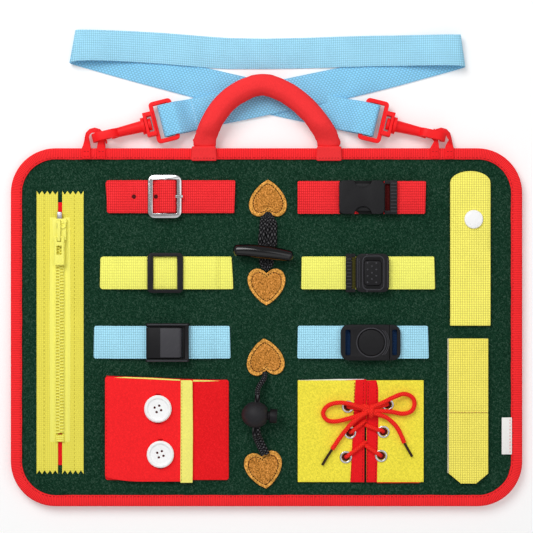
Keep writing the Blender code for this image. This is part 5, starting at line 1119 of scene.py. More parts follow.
def make_handle_ends():
    """The flattened ends of the handle's cover, folded under and sewn to the edge tape."""
    thick, fall, deep, half = 0.0048, 0.0030, 0.0112, 0.0098
    for side, name in ((-1, "left"), (1, "right")):
        middle = side * HANDLE_RADIUS
        low, high = (middle - half, BOARD_TOP_Y - 0.0100), (middle + half, BOARD_TOP_Y + 0.0012)
        piece = block(f"handle_end_{name}", (*low, EDGE_TOP), (*high, EDGE_TOP + thick), 0.0014, 3)
        add_modifier(piece, "SUBSURF", levels=3, render_levels=3, subdivision_type="SIMPLE")
        apply_modifiers(piece)
        for corner in piece.data.vertices:
            up = (corner.co.z - EDGE_TOP) / thick
            back = (high[1] - corner.co.y) / deep
            if up > 0.1:
                corner.co.z -= fall * back * up
                corner.co.z += 0.0002 * wavy(corner.co.x * 3, corner.co.y * 3, 31) * up
            corner.co.x += (corner.co.x - middle) * 0.05 * (back - 0.5)
        settle(piece, "handle_red", 60)
        y = BOARD_TOP_Y - 0.0080
        top = EDGE_TOP + thick - fall * (high[1] - y) / deep + 0.00005
        stitch_row(f"handle_stitches_{name}", [(low[0] + 0.0014, y, top), (high[0] - 0.0014, y, top)],
                   "thread_dark_red", pitch=0.0024)


# Tab loops, snap hooks and shoulder strap


def make_carry():
    """The two tab loops on the top edge, the snap hooks in them, and the strap between the hooks."""
    level = EDGE_TOP + 0.0015
    for side in ("left", "right"):
        loop = cloth_copy(f"tab_loop_{side}", "tape_red", soft=0.0003, segments=2)
        low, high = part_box(f"tab_loop_{side}")
        centre = Vector(((low.x + high.x) / 2, high.y - 0.0055, 0))
        middle = (low.z + high.z) / 2
        for corner in loop.data.vertices:
            up = max(0.0, min(1.0, (corner.co.y - BOARD_TOP_Y - 0.0004) / 0.0085))
            out = Vector((corner.co.x - centre.x, max(0.0, corner.co.y - centre.y), 0))
            lean = 0.55 * (middle - corner.co.z) * up
            corner.co += out.normalized() * lean - Vector((0, 0.0008 * up, 0))
        refined(f"snap_hook_{side}", width=0.00045, look="plastic_red", sharp=50)
        refined(f"hook_frame_{side}", width=0.0006, look="plastic_red", sharp=50)
        refined(f"hook_gate_{side}", width=0.0003, segments=2, look="plastic_red", sharp=50)
    for leg, inner, name in ((-0.1405, -0.1290, "left"), (0.1428, 0.1313, "right")):
        for k, x in enumerate((leg, inner)):
            for j, y in enumerate((0.1330, 0.1372)):
                stitch_row(f"loop_stitches_{name}_{k}_{j}", [(x - 0.0026, y, level), (x + 0.0026, y, level)],
                           "thread_dark_red", pitch=0.0022, length=0.0017)
    make_sling()


# The strap's middle in millimetres and the direction across it, from one end round to the other
SLING = """
-55.18 167.50 0.60 -0.242 0.970, -63.72 165.37 0.60 -0.242 0.970, -67.4 164.46 2.2 -0.242 0.970,
-69.93 163.82 4.50 -0.242 0.970, -80.50 161.19 4.60 -0.242 0.970, -81.66 160.90 5.90 -0.242 0.970,
-82.05 160.80 7.90 -0.242 0.970, -81.66 160.90 9.90 -0.242 0.970, -80.50 161.19 11.10 -0.242 0.970,
-69.93 163.82 11.10 -0.242 0.970, -66.3 164.72 8.4 -0.242 0.970, -62.4 165.7 4.9 -0.242 0.970,
-58.67 166.63 2.80 -0.242 0.970, -52.46 168.18 2.10 -0.242 0.970, -38.0 171.3 2.10 -0.222 0.975,
-22.24 174.48 2.10 -0.204 0.979, -8.14 177.42 2.10 -0.204 0.979, 14.0 182.05 2.10 -0.204 0.979,
32.15 185.83 2.10 -0.204 0.979, 58.34 191.4 0.60 -0.215 0.977, 78.0 196.0 0.60 -0.235 0.972,
98.63 201.2 0.60 -0.255 0.967, 124.0 208.2 0.60 -0.270 0.963, 149.00 215.0 0.60 -0.270 0.963,
151.00 215.6 0.91 -0.250 0.968, 152.45 216.0 1.81 -0.220 0.976, 153.25 216.3 3.17 -0.185 0.983,
153.50 216.5 4.78 -0.150 0.989, 153.15 216.6 6.39 -0.120 0.993, 152.26 216.6 7.76 -0.090 0.996,
150.81 216.6 8.68 -0.060 0.998, 149.00 216.6 9.00 -0.035 0.999, 140.1 216.8 8.55 -0.020 1.0,
131.12 216.9 7.20 -0.011 1.0, 118.0 217.0 4.75 -0.011 1.0, 104.30 217.0 2.75 -0.011 1.0,
82.0 216.8 2.15 -0.011 1.0, 59.60 216.2 2.10 -0.011 1.0, 44.0 215.8 1.2 -0.011 1.0,
29.80 215.4 0.65 -0.011 1.0, 0.00 214.9 0.60 0.0 1.0, -29.40 215.1 0.65 0.040 0.999,
-44.0 215.9 1.2 0.048 0.999, -58.80 217.0 2.10 0.048 0.999, -82.0 218.9 2.15 0.040 0.999,
-102.90 220.1 2.75 0.020 1.0, -117.0 220.5 4.75 0.010 1.0, -129.36 220.6 7.20 0.006 1.0,
-138.2 220.6 8.55 0.015 1.0, -147.00 220.4 9.00 0.045 0.999, -148.90 220.2 8.68 0.080 0.997,
-150.36 220.0 7.76 0.120 0.993, -151.16 219.7 6.39 0.160 0.987, -151.47 219.4 4.78 0.195 0.981,
-151.14 219.1 3.17 0.225 0.974, -150.33 218.8 1.81 0.250 0.968, -148.88 218.4 0.91 0.265 0.964,
-147.00 217.9 0.60 0.270 0.963, -122.0 210.8 0.60 0.270 0.963, -96.23 203.6 0.60 0.262 0.965,
-55.61 192.9 0.60 0.240 0.971, -25.0 185.8 0.60 0.222 0.975, 5.31 179.16 0.60 0.212 0.977,
31.71 173.43 0.60 0.212 0.977, 44.0 170.8 1.1 0.222 0.975, 56.08 168.15 2.20 0.233 0.972,
59.8 167.25 3.1 0.233 0.972, 65.6 165.85 6.4 0.233 0.972, 69.6 164.9 9.3 0.233 0.972,
73.59 163.94 11.10 0.233 0.972, 84.19 161.41 11.10 0.233 0.972, 85.35 161.13 9.90 0.233 0.972,
85.75 161.04 7.90 0.233 0.972, 85.35 161.13 5.90 0.233 0.972, 84.19 161.41 4.60 0.233 0.972,
73.59 163.94 4.50 0.233 0.972, 70.9 164.6 2.2 0.233 0.972, 67.36 165.44 0.60 0.233 0.972,
58.81 167.49 0.60 0.233 0.972
"""


def make_sling():
    """The long light-blue strap: folded round both frames, turned over itself at its two far ends."""
    given = []
    for entry in SLING.replace("\n", " ").split(","):
        x, y, z, across_x, across_y = (float(v) for v in entry.split())
        given.append((*metres([(x, y, z)]), (across_x, across_y, 0)))
    rng = random.Random(9)
    rows = []
    for i, (place, across) in enumerate(dense(given, 0.0016)):
        wide = 0.0250 + 0.00010 * (1 if i % 2 else -1) + rng.uniform(-1, 1) * 0.00005
        rows.append((place, across, wide - 0.0012 * max(0.0, 1 - abs(across.x) / 0.10)))
    piece = strap_rows("sling", rows, 0.0012, "web_sling", nodes=("shoulder_strap",))
    reach, upper = 0.0, []
    for (before, _, _), (place, across, _) in zip(rows, rows[1:]):
        reach += (place - before).length
        if abs(across.x) < 0.15:
            upper.append(reach)
    piece.data.materials.append(finish("web_sling_deep"))
    places = piece.data.uv_layers["along"].data
    for face in piece.data.polygons:
        run = sum(places[k].uv.x for k in face.loop_indices) / face.loop_total
        face.material_index = 0 if upper[0] < run < upper[-1] else 1
    for name, centre, turn, level in (("left", (-56.6, 167.15), 14.0, 3.25),
                                      ("right", (60.4, 167.1), -13.5, 3.75)):
        angle = math.radians(turn)
        across = Vector((-math.sin(angle), math.cos(angle), 0)) * 0.0110
        middle = Vector(metres([(*centre, level)])[0])
        for k, shift in enumerate((0.0, 0.0016)):
            off = Vector((math.cos(angle), math.sin(angle), 0)) * shift * (1 if name == "left" else -1)
            drop = Vector((0, 0, 0.00055 * k))
            stitch_row(f"sling_stitches_{name}_{k}", [middle - across + off - drop, middle + across + off - drop],
                       "thread_blue", pitch=0.0025)


# Zip


def make_zip():
    """The zip: tape, stop, pale inner bands, teeth, slider with its round boss and metal nose, and pull."""
    plate("zip_lining", rectangle(ZIP_X - 0.0062, -0.1078, ZIP_X + 0.0062, 0.0977), FACE - 0.0004, FACE + 0.00022,
          "felt_red", 0.0001)
    ribs("zip_stop_rib", ZIP_X - 0.0030, ZIP_X + 0.0030, [-0.0852 - 0.0016 * k for k in range(3)], LAYER_1 + 0.0023,
         0.00045, "zip_tooth")
    cloth_copy("zip_tape", "zip_yellow", soft=0.0002, segments=2, cell=0.006, waves=0.00012, seed=14)
    for side, name in ((-1, "left"), (1, "right")):
        inner, outer = ZIP_X + side * 0.0028, ZIP_X + side * 0.0078
        band = [(inner, -0.0895), (outer, -0.0895), (outer + side * 0.0004, 0.0), (outer, 0.0860), (inner, 0.0860)]
        plate(f"zip_band_{name}", band, LAYER_1 + 0.0006, LAYER_1 + 0.0010, "zip_pale", 0.0001)
        plate(f"zip_under_{name}", rectangle(ZIP_X + side * 0.00015, -0.0826, inner, 0.0775), LAYER_1 + 0.00085,
              LAYER_1 + 0.0019, "zip_shade", 0.0, f"zip_{name}")
    make_teeth()
    refined("zip_slider", width=0.0006, look="zip_tooth", sharp=50)
    refined("zip_pull", width=0.0004, look="zip_tooth", sharp=50)
    boss, runner = (-0.1587, 0.0797), "zip_runner"
    ring("slider_boss", boss, 0.00275, 0.00150, 0.0121, 0.0133, "zip_tooth", 28, 0.0004, runner)
    disc("slider_boss_dent", boss, 0.0018, 0.0121, 0.0126, "zip_pale", 20, runner)
    # A dark block in the slider's slot: painted shade
    block("slider_slot", (-0.1632, 0.0772, 0.0121), (-0.16262, 0.0812, 0.01235), 0.0001, 2, "plastic_painted_shade", runner)
    block("slider_nose", (ZIP_X - 0.0019, 0.0838, 0.0107), (ZIP_X + 0.0019, 0.0902, 0.0120), 0.0006, 3, "zip_metal",
          runner)
    low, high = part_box("zip_pull")
    inset = 0.0007
    rim = rounded_outline((low.x + inset, low.y + inset), (high.x - inset, high.y - inset), 0.0012, 4)
    cord("pull_rim", [(x, y, high.z) for x, y in rim], 0.00035, "zip_tooth", 2, closed=True, body=carrier("zip_pull"))
    level = LAYER_1 + 0.00085
    for name, x in (("left", -0.1738), ("right", -0.1502)):
        stitch_row(f"zip_stitches_{name}", [(x, 0.1040, level), (x, -0.1122, level)], "thread_yellow_dark",
                   pitch=0.0031, length=0.0021)


def make_teeth():
    """Two rows of small moulded teeth that stand between each other, one mesh a side."""
    pitch = bpy.context.scene.board_sizes.tooth_pitch
    low, high = -0.0820, 0.0780
    for side, name, shift in ((-1, "left", 0.0), (1, "right", 0.5)):
        body = f"zip_{name}"
        rest()
        bpy.ops.mesh.primitive_cube_add(size=1)
        bpy.ops.transform.resize(value=(0.0034, pitch * 0.42, 0.0017))
        tooth = placed("tooth")
        bpy.ops.object.mode_set(mode="EDIT")
        choose_facing(lambda facing: facing.x * side < -0.9)
        bpy.ops.transform.resize(value=(1, 1.25, 0.8))
        bpy.ops.mesh.select_all(action="SELECT")
        bpy.ops.mesh.bevel(offset=0.00018, segments=1, affect="EDGES")
        close()
        places = [Vector((ZIP_X + side * 0.0014, low + (i + shift) * pitch, LAYER_1 + 0.0021))
                  for i in range(int((high - low) / pitch))]
        piece = repeat(f"teeth_{name}", tooth, places, "zip_tooth", body)
        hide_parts(f"zip_teeth_{name}")
        x = ZIP_X + side * 0.0033
        block(f"teeth_cord_{name}", (x - 0.00035, -0.0830, LAYER_1 + 0.0012), (x + 0.00035, 0.0778, LAYER_1 + 0.0022),
              0.0002, 2, "zip_tooth", body)


# Straps and buckles


def scallop(piece, level, skew, rounding):
    """Gives a strap that runs along X its woven edge, rounds its corners and leans its two ends."""
    half, pitch, amount = WEB_WIDTH / 2, 0.0018, 0.00028
    low = min(v.co.x for v in piece.data.vertices)
    high = max(v.co.x for v in piece.data.vertices)
    for corner in piece.data.vertices:
        across = corner.co.y - level
        share = max(0.0, min(1.0, (abs(across) - half + 0.0012) / 0.0009))
        if share:
            bump = amount * math.sin(corner.co.x * 2 * math.pi / pitch) + amount * 0.8 * wavy(corner.co.x, level, 17)
            corner.co.y += math.copysign(share * bump, across)
        for end, lean, radius in ((low, skew[0], rounding[0]), (high, skew[1], rounding[1])):
            inward = abs(corner.co.x - end)
            if inward < radius:
                narrow = radius - math.sqrt(max(0.0, radius ** 2 - (radius - inward) ** 2))
                corner.co.y = level + (corner.co.y - level) * (half - narrow) / half
            near = max(0.0, 1 - inward / 0.008)
            corner.co.x += lean * near * across / half
    piece.data.update()


def webbing(node_name, look, level, skew, rounding=(0.0012, 0.0012)):
    """A strap of one of the rows, in the place of its plain solid."""
    piece = cloth_copy(node_name, look, soft=0.0003, segments=2, sharp=50)
    cut_grid(piece, 0.00045, axes=(0,))
    scallop(piece, level, skew, rounding)


def make_belt():
    """The belt's two layers, its metal frame, and its prong with the strap lying over it."""
    level = BELT_Y
    webbing("belt_strap", "web_red", level, skew=(0.0, 0.0004), rounding=(0.0018, 0.0010))
    webbing("belt_tail", "web_red", level, skew=(-0.0008, 0.0), rounding=(0.0022, 0.0))
    refined("belt_buckle_frame", width=0.0009, segments=4, look="metal_bright", sharp=60)
    refined("belt_buckle_prong", width=0.0005, look="metal_bright", sharp=60)
    route = ((-82.9, 13.85), (-82.0, 14.6), (-80.8, 15.3), (-79.2, 15.6), (-77.0, 15.5), (-74.6, 15.35),
             (-72.6, 15.15), (-71.5, 14.7), (-70.95, 13.7), (-70.8, 12.4), (-70.75, 11.3))
    rows = [(Vector((p.x / 1000, level, p.y / 1000)), Vector((0, 1, 0)), 0.0250)
            for p in smooth_path([(x, z, 0) for x, z in route], 3)]
    strap_rows("belt_over_prong", rows, 0.0010, "web_red", body=carrier("belt_buckle_prong"))
    # Dark red discs in the belt's holes: painted shade
    for x, top, slope in ((-0.1034, 0.01036, 0.0), (-0.0862, 0.01158, 0.6035)):
        hole = disc(f"belt_hole_{round(-x * 1e4)}", (x, level), 0.00165, top - 0.0006, top, "hole_red_painted_shade",
                    body="tail" if x < -0.1 else "board")
        for corner in hole.data.vertices:
            corner.co.z += (corner.co.x - x) * slope
    x, z = -0.0262, LAYER_1 + 0.00125
    stitch_row("belt_stitches", [(x, level - 0.0110, z), (x, level + 0.0110, z)], "thread_red", pitch=0.0024)


def make_glide():
    """The yellow strap and the slide on it."""
    webbing("glide_strap", "web_yellow", GLIDE_Y, skew=(0.0002, -0.0006), rounding=(0.0024, 0.0012))
    refined("glide_frame", width=0.0006, look="plastic_black")


def make_cam():
    """The cam buckle: its frame with side walls in painted shade, and the lever with its raised panel in a lighter grey
    as painted light.
    """
    webbing("cam_strap", "web_blue", CAM_Y, skew=(0.0002, -0.0003), rounding=(0.0018, 0.0012))
    refined("cam_frame", width=0.0006, look="plastic_black")
    refined("cam_lever", width=0.0005, look="plastic_black")
    # Side walls and a bar fill in the darker black: painted shade in the gaps beside the lever
    walls = ((-0.0934, -0.0247, -0.0605, -0.02375, 0.0150), (-0.0934, 0.00035, -0.0605, 0.0013, 0.0150),
             (-0.0655, -0.0246, -0.0632, 0.0012, 0.0146))
    for k, (x0, y0, x1, y1, top) in enumerate(walls):
        block(f"cam_wall_{k}", (x0, y0, 0.0109), (x1, y1, top), 0.0003, 2, "plastic_painted_shade")
    # The lever's raised panel in the lighter grey: painted light on its sloping top
    route = ((-82.4, 16.52), (-80.0, 16.58), (-75.0, 16.60), (-68.6, 16.56), (-67.45, 16.33), (-66.55, 15.72),
             (-66.0, 14.8), (-65.88, 13.9))
    rows = [(Vector((x / 1000, CAM_Y, z / 1000)), Vector((0, 1, 0)), 0.0226) for x, z in route]
    strap_rows("cam_panel", rows, 0.0003, "plastic_rim_highlight", body=carrier("cam_lever"), soft=0.0001)
    # Rounded rims along the frame's top and bottom in the lighter grey: painted highlight lines
    for k, y in enumerate((-0.0258, 0.0024)):
        cord(f"cam_rim_{k}", [(-0.0925, y, 0.0164), (-0.0770, y, 0.0165), (-0.0615, y, 0.0164)], 0.0005,
             "plastic_rim_highlight", 2)


def make_clip():
    """The side-release buckle: the socket on its lower shell, and the plug with its ribbed bar."""
    webbing("clip_strap", "web_red", CLIP_Y, skew=(0.0, 0.0003))
    refined("clip_socket", width=0.0009, segments=4, look="plastic_black", angle=40)
    refined("clip_plug", width=0.0006, look="plastic_black", angle=40)
    outline = [(0.0567, 0.0894), (0.0577, 0.0884), (0.0600, 0.0884), (0.0612, 0.0896), (0.0640, 0.0906),
               (0.0690, 0.0907), (0.0712, 0.0898), (0.0722, 0.0884), (0.0910, 0.0884), (0.0915, 0.0890),
               (0.0915, 0.1138), (0.0910, 0.1144), (0.0577, 0.1144), (0.0567, 0.1134)]
    # The socket's lower shell in the darker black: painted shade under the socket
    plate("clip_shell", outline, 0.01035, 0.01088, "plastic_painted_shade", 0.0001)
    body = carrier("clip_plug")
    # A dark red plate in the slot by the ribbed bar: painted shade on the strap going round the bar
    plate("clip_slot_shade", rectangle(0.0918, 0.0897, 0.0961, 0.1131), 0.01036, 0.01052, "slot_red_painted_shade", 0.0, body)
    ribs("clip_rib", 0.0966, 0.1011, [0.0906 + 0.0027 * k for k in range(9)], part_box("clip_plug")[1].z, body=body)


def make_press():
    """The centre-release buckle: ribbed tongue, framed window and dotted button."""
    webbing("press_strap", "web_yellow", PRESS_Y, skew=(0.0002, -0.0003))
    for name, width in (("press_body", 0.0007), ("press_tongue", 0.0006), ("press_button", 0.0004)):
        refined(name, width=width, look="plastic_black", angle=40)
    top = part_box("press_button")[1].z
    dots = [Vector((x, start + 0.0050 * k, top)) for x, start, count in
            ((0.0784, 0.0352, 4), (0.0818, 0.0377, 3), (0.0852, 0.0352, 4)) for k in range(count)]
    # Dots on the button in the lighter grey: painted highlight
    repeat("press_dots", bead(0.00075, 0.00040), dots, "plastic_rim_highlight", carrier("press_button"))
    body = carrier("press_body")
    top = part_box("press_body")[1].z
    loop = [(x, y, top + 0.0001) for x, y in rounded_outline((0.0748, 0.0294), (0.0912, 0.0556), 0.0040, 6)]
    # The window's rim in the lighter grey: painted highlight
    cord("press_window", loop, 0.00046, "plastic_rim_highlight", 2, closed=True, body=body)
    # Dark bars above and below the button: painted shade in the gaps
    for k, y in enumerate((0.0316, 0.0534)):
        plate(f"press_recess_{k}", rectangle(0.0768, y - 0.0009, 0.0884, y + 0.0009), top - 0.0002, top + 0.00018,
              "plastic_painted_shade", 0.0, body)
    # Ridges and studs in the lighter grey: painted highlight lines and dots
    for k, x in enumerate((0.0707, 0.0720, 0.0942)):
        cord(f"press_ridge_{k}", [(x, 0.0310, top), (x, PRESS_Y, top + 0.0001), (x, 0.0540, top)], 0.00032,
             "plastic_rim_highlight", 2, body=body)
    repeat("press_studs", bead(0.0006, 0.0004), [Vector((0.0781, y, top)) for y in (0.0283, 0.0567)], "plastic_rim_highlight",
           body)
    body = carrier("press_tongue")
    ribs("press_rib", 0.0623, 0.0658, [0.0317 + 0.0027 * k for k in range(9)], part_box("press_tongue")[1].z, body=body)
    # A dark yellow plate in the tongue's slot: painted shade on the strap folded through it
    plate("press_slot_shade", rectangle(0.0667, 0.0304, 0.0692, 0.0547), 0.01312, 0.01330, "slot_yellow_painted_shade", 0.0, body)


def make_round():
    """The round-button buckle, with the raised ring and crescents round its button."""
    webbing("round_strap", "web_blue", ROUND_Y, skew=(0.0002, -0.0003))
    for name, width in (("round_body", 0.0007), ("round_tongue", 0.0006), ("round_button", 0.0004)):
        refined(name, width=width, look="plastic_black", angle=40)
    body = carrier("round_body")
    # Dark blue plates over the strap in the slots: painted shade where the strap loops under the bars
    for name, x0, x1, rider in (("left", 0.0610, 0.0656, body), ("right", 0.0976, 0.1018, carrier("round_tongue"))):
        plate(f"round_slot_shade_{name}", rectangle(x0, -0.0217, x1, -0.0016), 0.01034, 0.01052, "slot_blue_painted_shade", 0.0, rider)
    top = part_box("round_body")[1].z
    centre = (0.0813, ROUND_Y)
    # Ring and crescents in the lighter grey: painted highlight
    for k, (radius, start, end, thick) in enumerate(((0.0112, 0, 360, 0.00050), (0.0129, -48, 48, 0.00030),
                                                     (0.0140, -42, 42, 0.00030))):
        arc = [(centre[0] + radius * math.cos(math.radians(a)), centre[1] + radius * math.sin(math.radians(a)), top)
               for a in (start + (end - start) * i / 40 for i in range(40 if k == 0 else 41))]
        cord(f"round_ring_{k}", arc, thick, "plastic_rim_highlight", 2, closed=k == 0, body=body)


# Hearts and their cords


HEART_PLACES = ((0.0011, 0.1010, 0.0), (0.0000, 0.0315, 180.0), (-0.0010, -0.0230, 4.0), (-0.0020, -0.1117, 188.0))
# Half of the outline from the tip round to the notch, as shares of half the width and half the height
HEART_HALF_WIDTH, HEART_HALF_HEIGHT = 0.01475, 0.0144
HEART_SHARES = (
    (0.0, 1.0), (0.335, 0.78), (0.63, 0.475), (0.861, 0.14), (0.982, -0.20), (1.0, -0.456), (0.92, -0.733),
    (0.762, -0.911), (0.52, -1.0), (0.295, -0.956), (0.112, -0.85), (0.0, -0.733),
)


def heart_outline(number, scale=1.0):
    """The heart's outline from its tip round to its tip again, on the board."""
    x, y, turn = HEART_PLACES[number - 1]
    side = [(p.x * HEART_HALF_WIDTH * scale, p.y * HEART_HALF_HEIGHT * scale) for p in
            smooth_path([(a, b, 0) for a, b in HEART_SHARES], 4)]
    there = Matrix.Translation((x, y, 0)) @ Matrix.Rotation(math.radians(turn), 4, "Z")
    return [there @ Vector((a, b, 0)) for a, b in side[:-1] + [(-a, b) for a, b in side[:0:-1]]]


def distance_to(loop, place):
    """How far a place is from a closed outline."""
    best = 1.0
    for a, b in zip(loop, loop[1:] + loop[:1]):
        t = max(0.0, min(1.0, (place - a).dot(b - a) / (b - a).length_squared))
        best = min(best, (place - a.lerp(b, t)).length)
    return best


def make_hearts():
    """Four felt hearts, each with its stitched line and the padded part inside it."""
    seam_in, padding, dent = 0.0030, 0.00045, 0.00040
    for i in range(1, 5):
        heart = cloth_copy(f"heart_{i}", "felt_tan", cell=0.0012, waves=0.0002, seed=40 + i)
        loop = heart_outline(i)
        inner = heart.data.attributes.new("inner", "FLOAT", "POINT")
        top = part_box(f"heart_{i}")[1].z
        for corner in heart.data.vertices:
            away = distance_to(loop, Vector((corner.co.x, corner.co.y, 0)))
            inner.data[corner.index].value = max(0.0, min(1.0, (away - 0.0026) / 0.0009))
            if corner.co.z > top - 0.0004:
                corner.co.z += padding * max(0.0, min(1.0, (away - seam_in) / 0.0026))
                corner.co.z -= dent * math.exp(-((away - seam_in) / 0.0006) ** 2)
        seam = [p + Vector((0, 0, top - 0.00012)) for p in heart_outline(i, 0.785)]
        stitch_row(f"heart_stitches_{i}", seam, "thread_brown", closed=True, pitch=0.0021, length=0.0021,
                   thick=0.00078)
    make_toggle()
    make_cord_lock()


def make_toggle():
    """The glossy toggle on its braided cords: a bundle from the upper heart and a loop from the lower one."""
    line = smooth_path([(-0.0256, 0.0601, 0.0161), (-0.0140, 0.0599, 0.0163), (-0.0031, 0.0588, 0.0164),
                        (0.0080, 0.0574, 0.0163), (0.0206, 0.0551, 0.0161)], 8)

    def girth(share):
        out = abs(2 * share - 1)
        ends = 0.80 if share < 0.5 else 0.74
        body = 1 - (1 - ends) * out ** 2.2
        return body * (1 - 0.55 * max(0.0, (out - 0.93) / 0.07) ** 2.2)

    toggle = cord("toggle_shell", line, 0.00535, "plastic_toggle", 8, body=carrier("toggle"),
                  taper=girth)
    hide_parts("toggle")
    body = carrier("toggle_cord")
    widths = ((0.0011, 0.0890), (0.0030, 0.0873), (0.0048, 0.0852), (0.0066, 0.0805), (0.0073, 0.0740),
              (0.0072, 0.0655), (0.0046, 0.0622))
    for k in range(5):
        share = (k - 2) / 2.55
        path = []
        for i, (half, y) in enumerate(widths):
            sway = 0.0005 * math.sin(i * 2.2 + k * 1.9)
            path.append((0.0011 + share * half + sway, y + (0.0004 if k % 2 else 0),
                         LAYER_1 + 0.0016 + 0.0003 * (k % 2)))
        cord(f"toggle_strand_{k}", smooth_path(path, 5), 0.00155, "braid_black", 4, body=body)
    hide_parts("toggle_cord")
    body = carrier("toggle_loop")
    half_path = ((0.0018, 0.0462), (0.0036, 0.0490), (0.0042, 0.0530), (0.0034, 0.0572), (0.0013, 0.0591))
    level = LAYER_1 + 0.0015
    path = [(-x, y, level) for x, y in half_path] + [(x, y, level) for x, y in half_path[::-1]]
    loop = cord("toggle_loop_cord", smooth_path(path, 5), 0.0016, "braid_black", 4, body=body)
    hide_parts("toggle_loop")
    path = [(x, y, LAYER_1 + 0.0013) for x, y in ((-0.0006, 0.0445), (-0.0012, 0.0490), (-0.0008, 0.0540),
                                                  (0.0008, 0.0560), (0.0014, 0.0520), (0.0006, 0.0445))]
    cord("toggle_loop_inner", smooth_path(path, 5), 0.0012, "braid_black", 3, body=body)


def make_cord_lock():
    """The round cord lock with its push button, and the braided cord through it."""
    body_piece = refined("cord_lock_body", width=0.0004, segments=2, look="plastic_grey", sharp=60)
    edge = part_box("cord_lock_body")[1].x
    for corner in body_piece.data.vertices:
        corner.co.x = edge + (corner.co.x - edge) * 1.06
    refined("cord_lock_plunger", width=0.0004, look="plastic_black")
    low, middle = LAYER_1 + 0.0043, Vector((-0.0080, -0.0673, LAYER_1 + 0.01025))
    ahead = Vector((0.0765, 1, 0)).normalized()
    upper = [Vector((-0.0014, -0.0355, low - 0.0016)), Vector((-0.0013, -0.0375, low - 0.0003)),
             Vector((-0.0022, -0.0405, low + 0.0003)), Vector((-0.0052, -0.0448, low + 0.0016)),
             Vector((-0.0069, -0.0490, (low + middle.z) / 2 + 0.0006)), middle + ahead * 0.0145]
    lower = [middle - ahead * 0.0145, Vector((-0.0087, -0.0850, low + 0.0024)), Vector((-0.0068, -0.0900, low)),
             Vector((-0.0044, -0.0950, low)), Vector((-0.0022, -0.0994, low))]
    path = smooth_path(upper, 6) + [middle + ahead * 0.008, middle, middle - ahead * 0.008] + smooth_path(lower, 6)
    body = carrier("lock_cord")
    piece = cord("lock_braid", path, 0.0020, "braid_black", 4, body=body)
    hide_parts("lock_cord")
    beside = [middle - ahead * 0.0090 + Vector((0.0020, 0, 0)), middle - ahead * 0.0140 + Vector((0.0026, 0, 0))]
    beside += [p + Vector((0.0031, 0.0007, 0)) for p in lower[1:]]
    cord("lock_braid_second", smooth_path(beside, 7), 0.0019, "braid_black", 4, body=body)


# The red button patch and the yellow lacing patch


def make_button_patch():
    """The red flap over its under-layer, its folded yellow trim and its two four-hole buttons."""
    lower = cloth_copy("flap_lower", "felt_red", soft=0.0004, cell=0.005, waves=0.0003, seed=51)
    # The upper flap takes a lighter copy of the red felt: painted light
    upper = cloth_copy("flap_upper", "felt_red_painted_light", soft=0.0004, cell=0.004, waves=0.0004, seed=52)
    for corner in upper.data.vertices:
        along = (corner.co.x + 0.1259) / 0.0681
        near_top = max(0.0, 1 - (-0.0383 - corner.co.y) / 0.014)
        near_low = max(0.0, 1 - (corner.co.y + 0.1203) / 0.014)
        corner.co.y -= 0.0031 * along * near_top
        corner.co.y += 0.0034 * max(0.0, (-0.098 - corner.co.x) / 0.0279) ** 2 * near_low
    body = carrier("flap_upper")
    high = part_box("flap_upper")[1].z
    trim = plate("flap_trim", [(-0.0672, -0.1211), (-0.0576, -0.1211), (-0.0573, -0.0800), (-0.0577, -0.0418),
                               (-0.0590, -0.0411), (-0.0668, -0.0411), (-0.0669, -0.0800)],
                 high - 0.0003, high + 0.0008, "felt_trim", 0.0004, body, 0.005, 0.0002, 53)
    seam = stitch_row("flap_trim_stitches", [(-0.0659, -0.0424, high + 0.0008), (-0.0663, -0.1200, high + 0.0008)],
                      "thread_yellow_dark", body=body, pitch=0.0026)
    plate("flap_lining", [(-0.1190, -0.0391), (-0.0900, -0.0404), (-0.0672, -0.0416), (-0.0672, -0.0406),
                          (-0.0900, -0.0393), (-0.1100, -0.0386)], high - 0.0002, high + 0.00025, "felt_trim",
          0.0001, body)
    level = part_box("flap_lower")[1].z
    plate("flap_lining_low", [(-0.0575, -0.0424), (-0.0460, -0.0423), (-0.0360, -0.0418), (-0.0460, -0.0414),
                              (-0.0575, -0.0411)], level - 0.0002, level + 0.0003, "felt_trim", 0.0001)
    plate("flap_fold", [(-0.1254, -0.0384), (-0.1254, -0.0379), (-0.0900, -0.0392), (-0.0640, -0.0404),
                        (-0.0305, -0.0412), (-0.0305, -0.0418), (-0.0640, -0.0416)],
          LAYER_1 + 0.0004, LAYER_1 + 0.0014, "felt_red", 0.0001)
    for k, (x, lift, rider) in enumerate(((-0.1250, 0.0019, body), (-0.0310, 0, "board"))):
        level = LAYER_1 + 0.0016 + lift
        stitch_row(f"flap_edge_stitches_{k}", [(x, -0.0422, level), (x, -0.1180, level)], "thread_dark_red",
                   body=rider, pitch=0.0030, thick=0.0003)
    for name, x, y, turn in (("upper", -0.0845, -0.0633, 23.0), ("lower", -0.0826, -0.0987, 19.0)):
        button = refined(f"button_{name}", width=0.0005, look="plastic_white", sharp=60)
        about = Vector((x, y, 0))
        spin = Matrix.Translation(about) @ Matrix.Rotation(math.radians(turn), 4, "Z") @ Matrix.Translation(-about)
        button.data.transform(spin)
        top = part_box(f"button_{name}")[1].z
        rider = carrier(f"button_{name}")
        # Dark red discs in the button holes: painted shade
        for k, (dx, dy) in enumerate(rectangle(-0.0019, -0.0019, 0.0019, 0.0019)):
            there = spin @ Vector((x + dx, y + dy, 0))
            disc(f"button_{name}_hole_{k}", (there.x, there.y), 0.00105, top - 0.0024, top - 0.0017, "hole_red_painted_shade", 14,
                 rider)


EYELETS = ((0.0635, -0.0619), (0.0652, -0.0822), (0.0619, -0.1013), (0.0945, -0.0603), (0.0913, -0.0815),
           (0.0895, -0.1003))
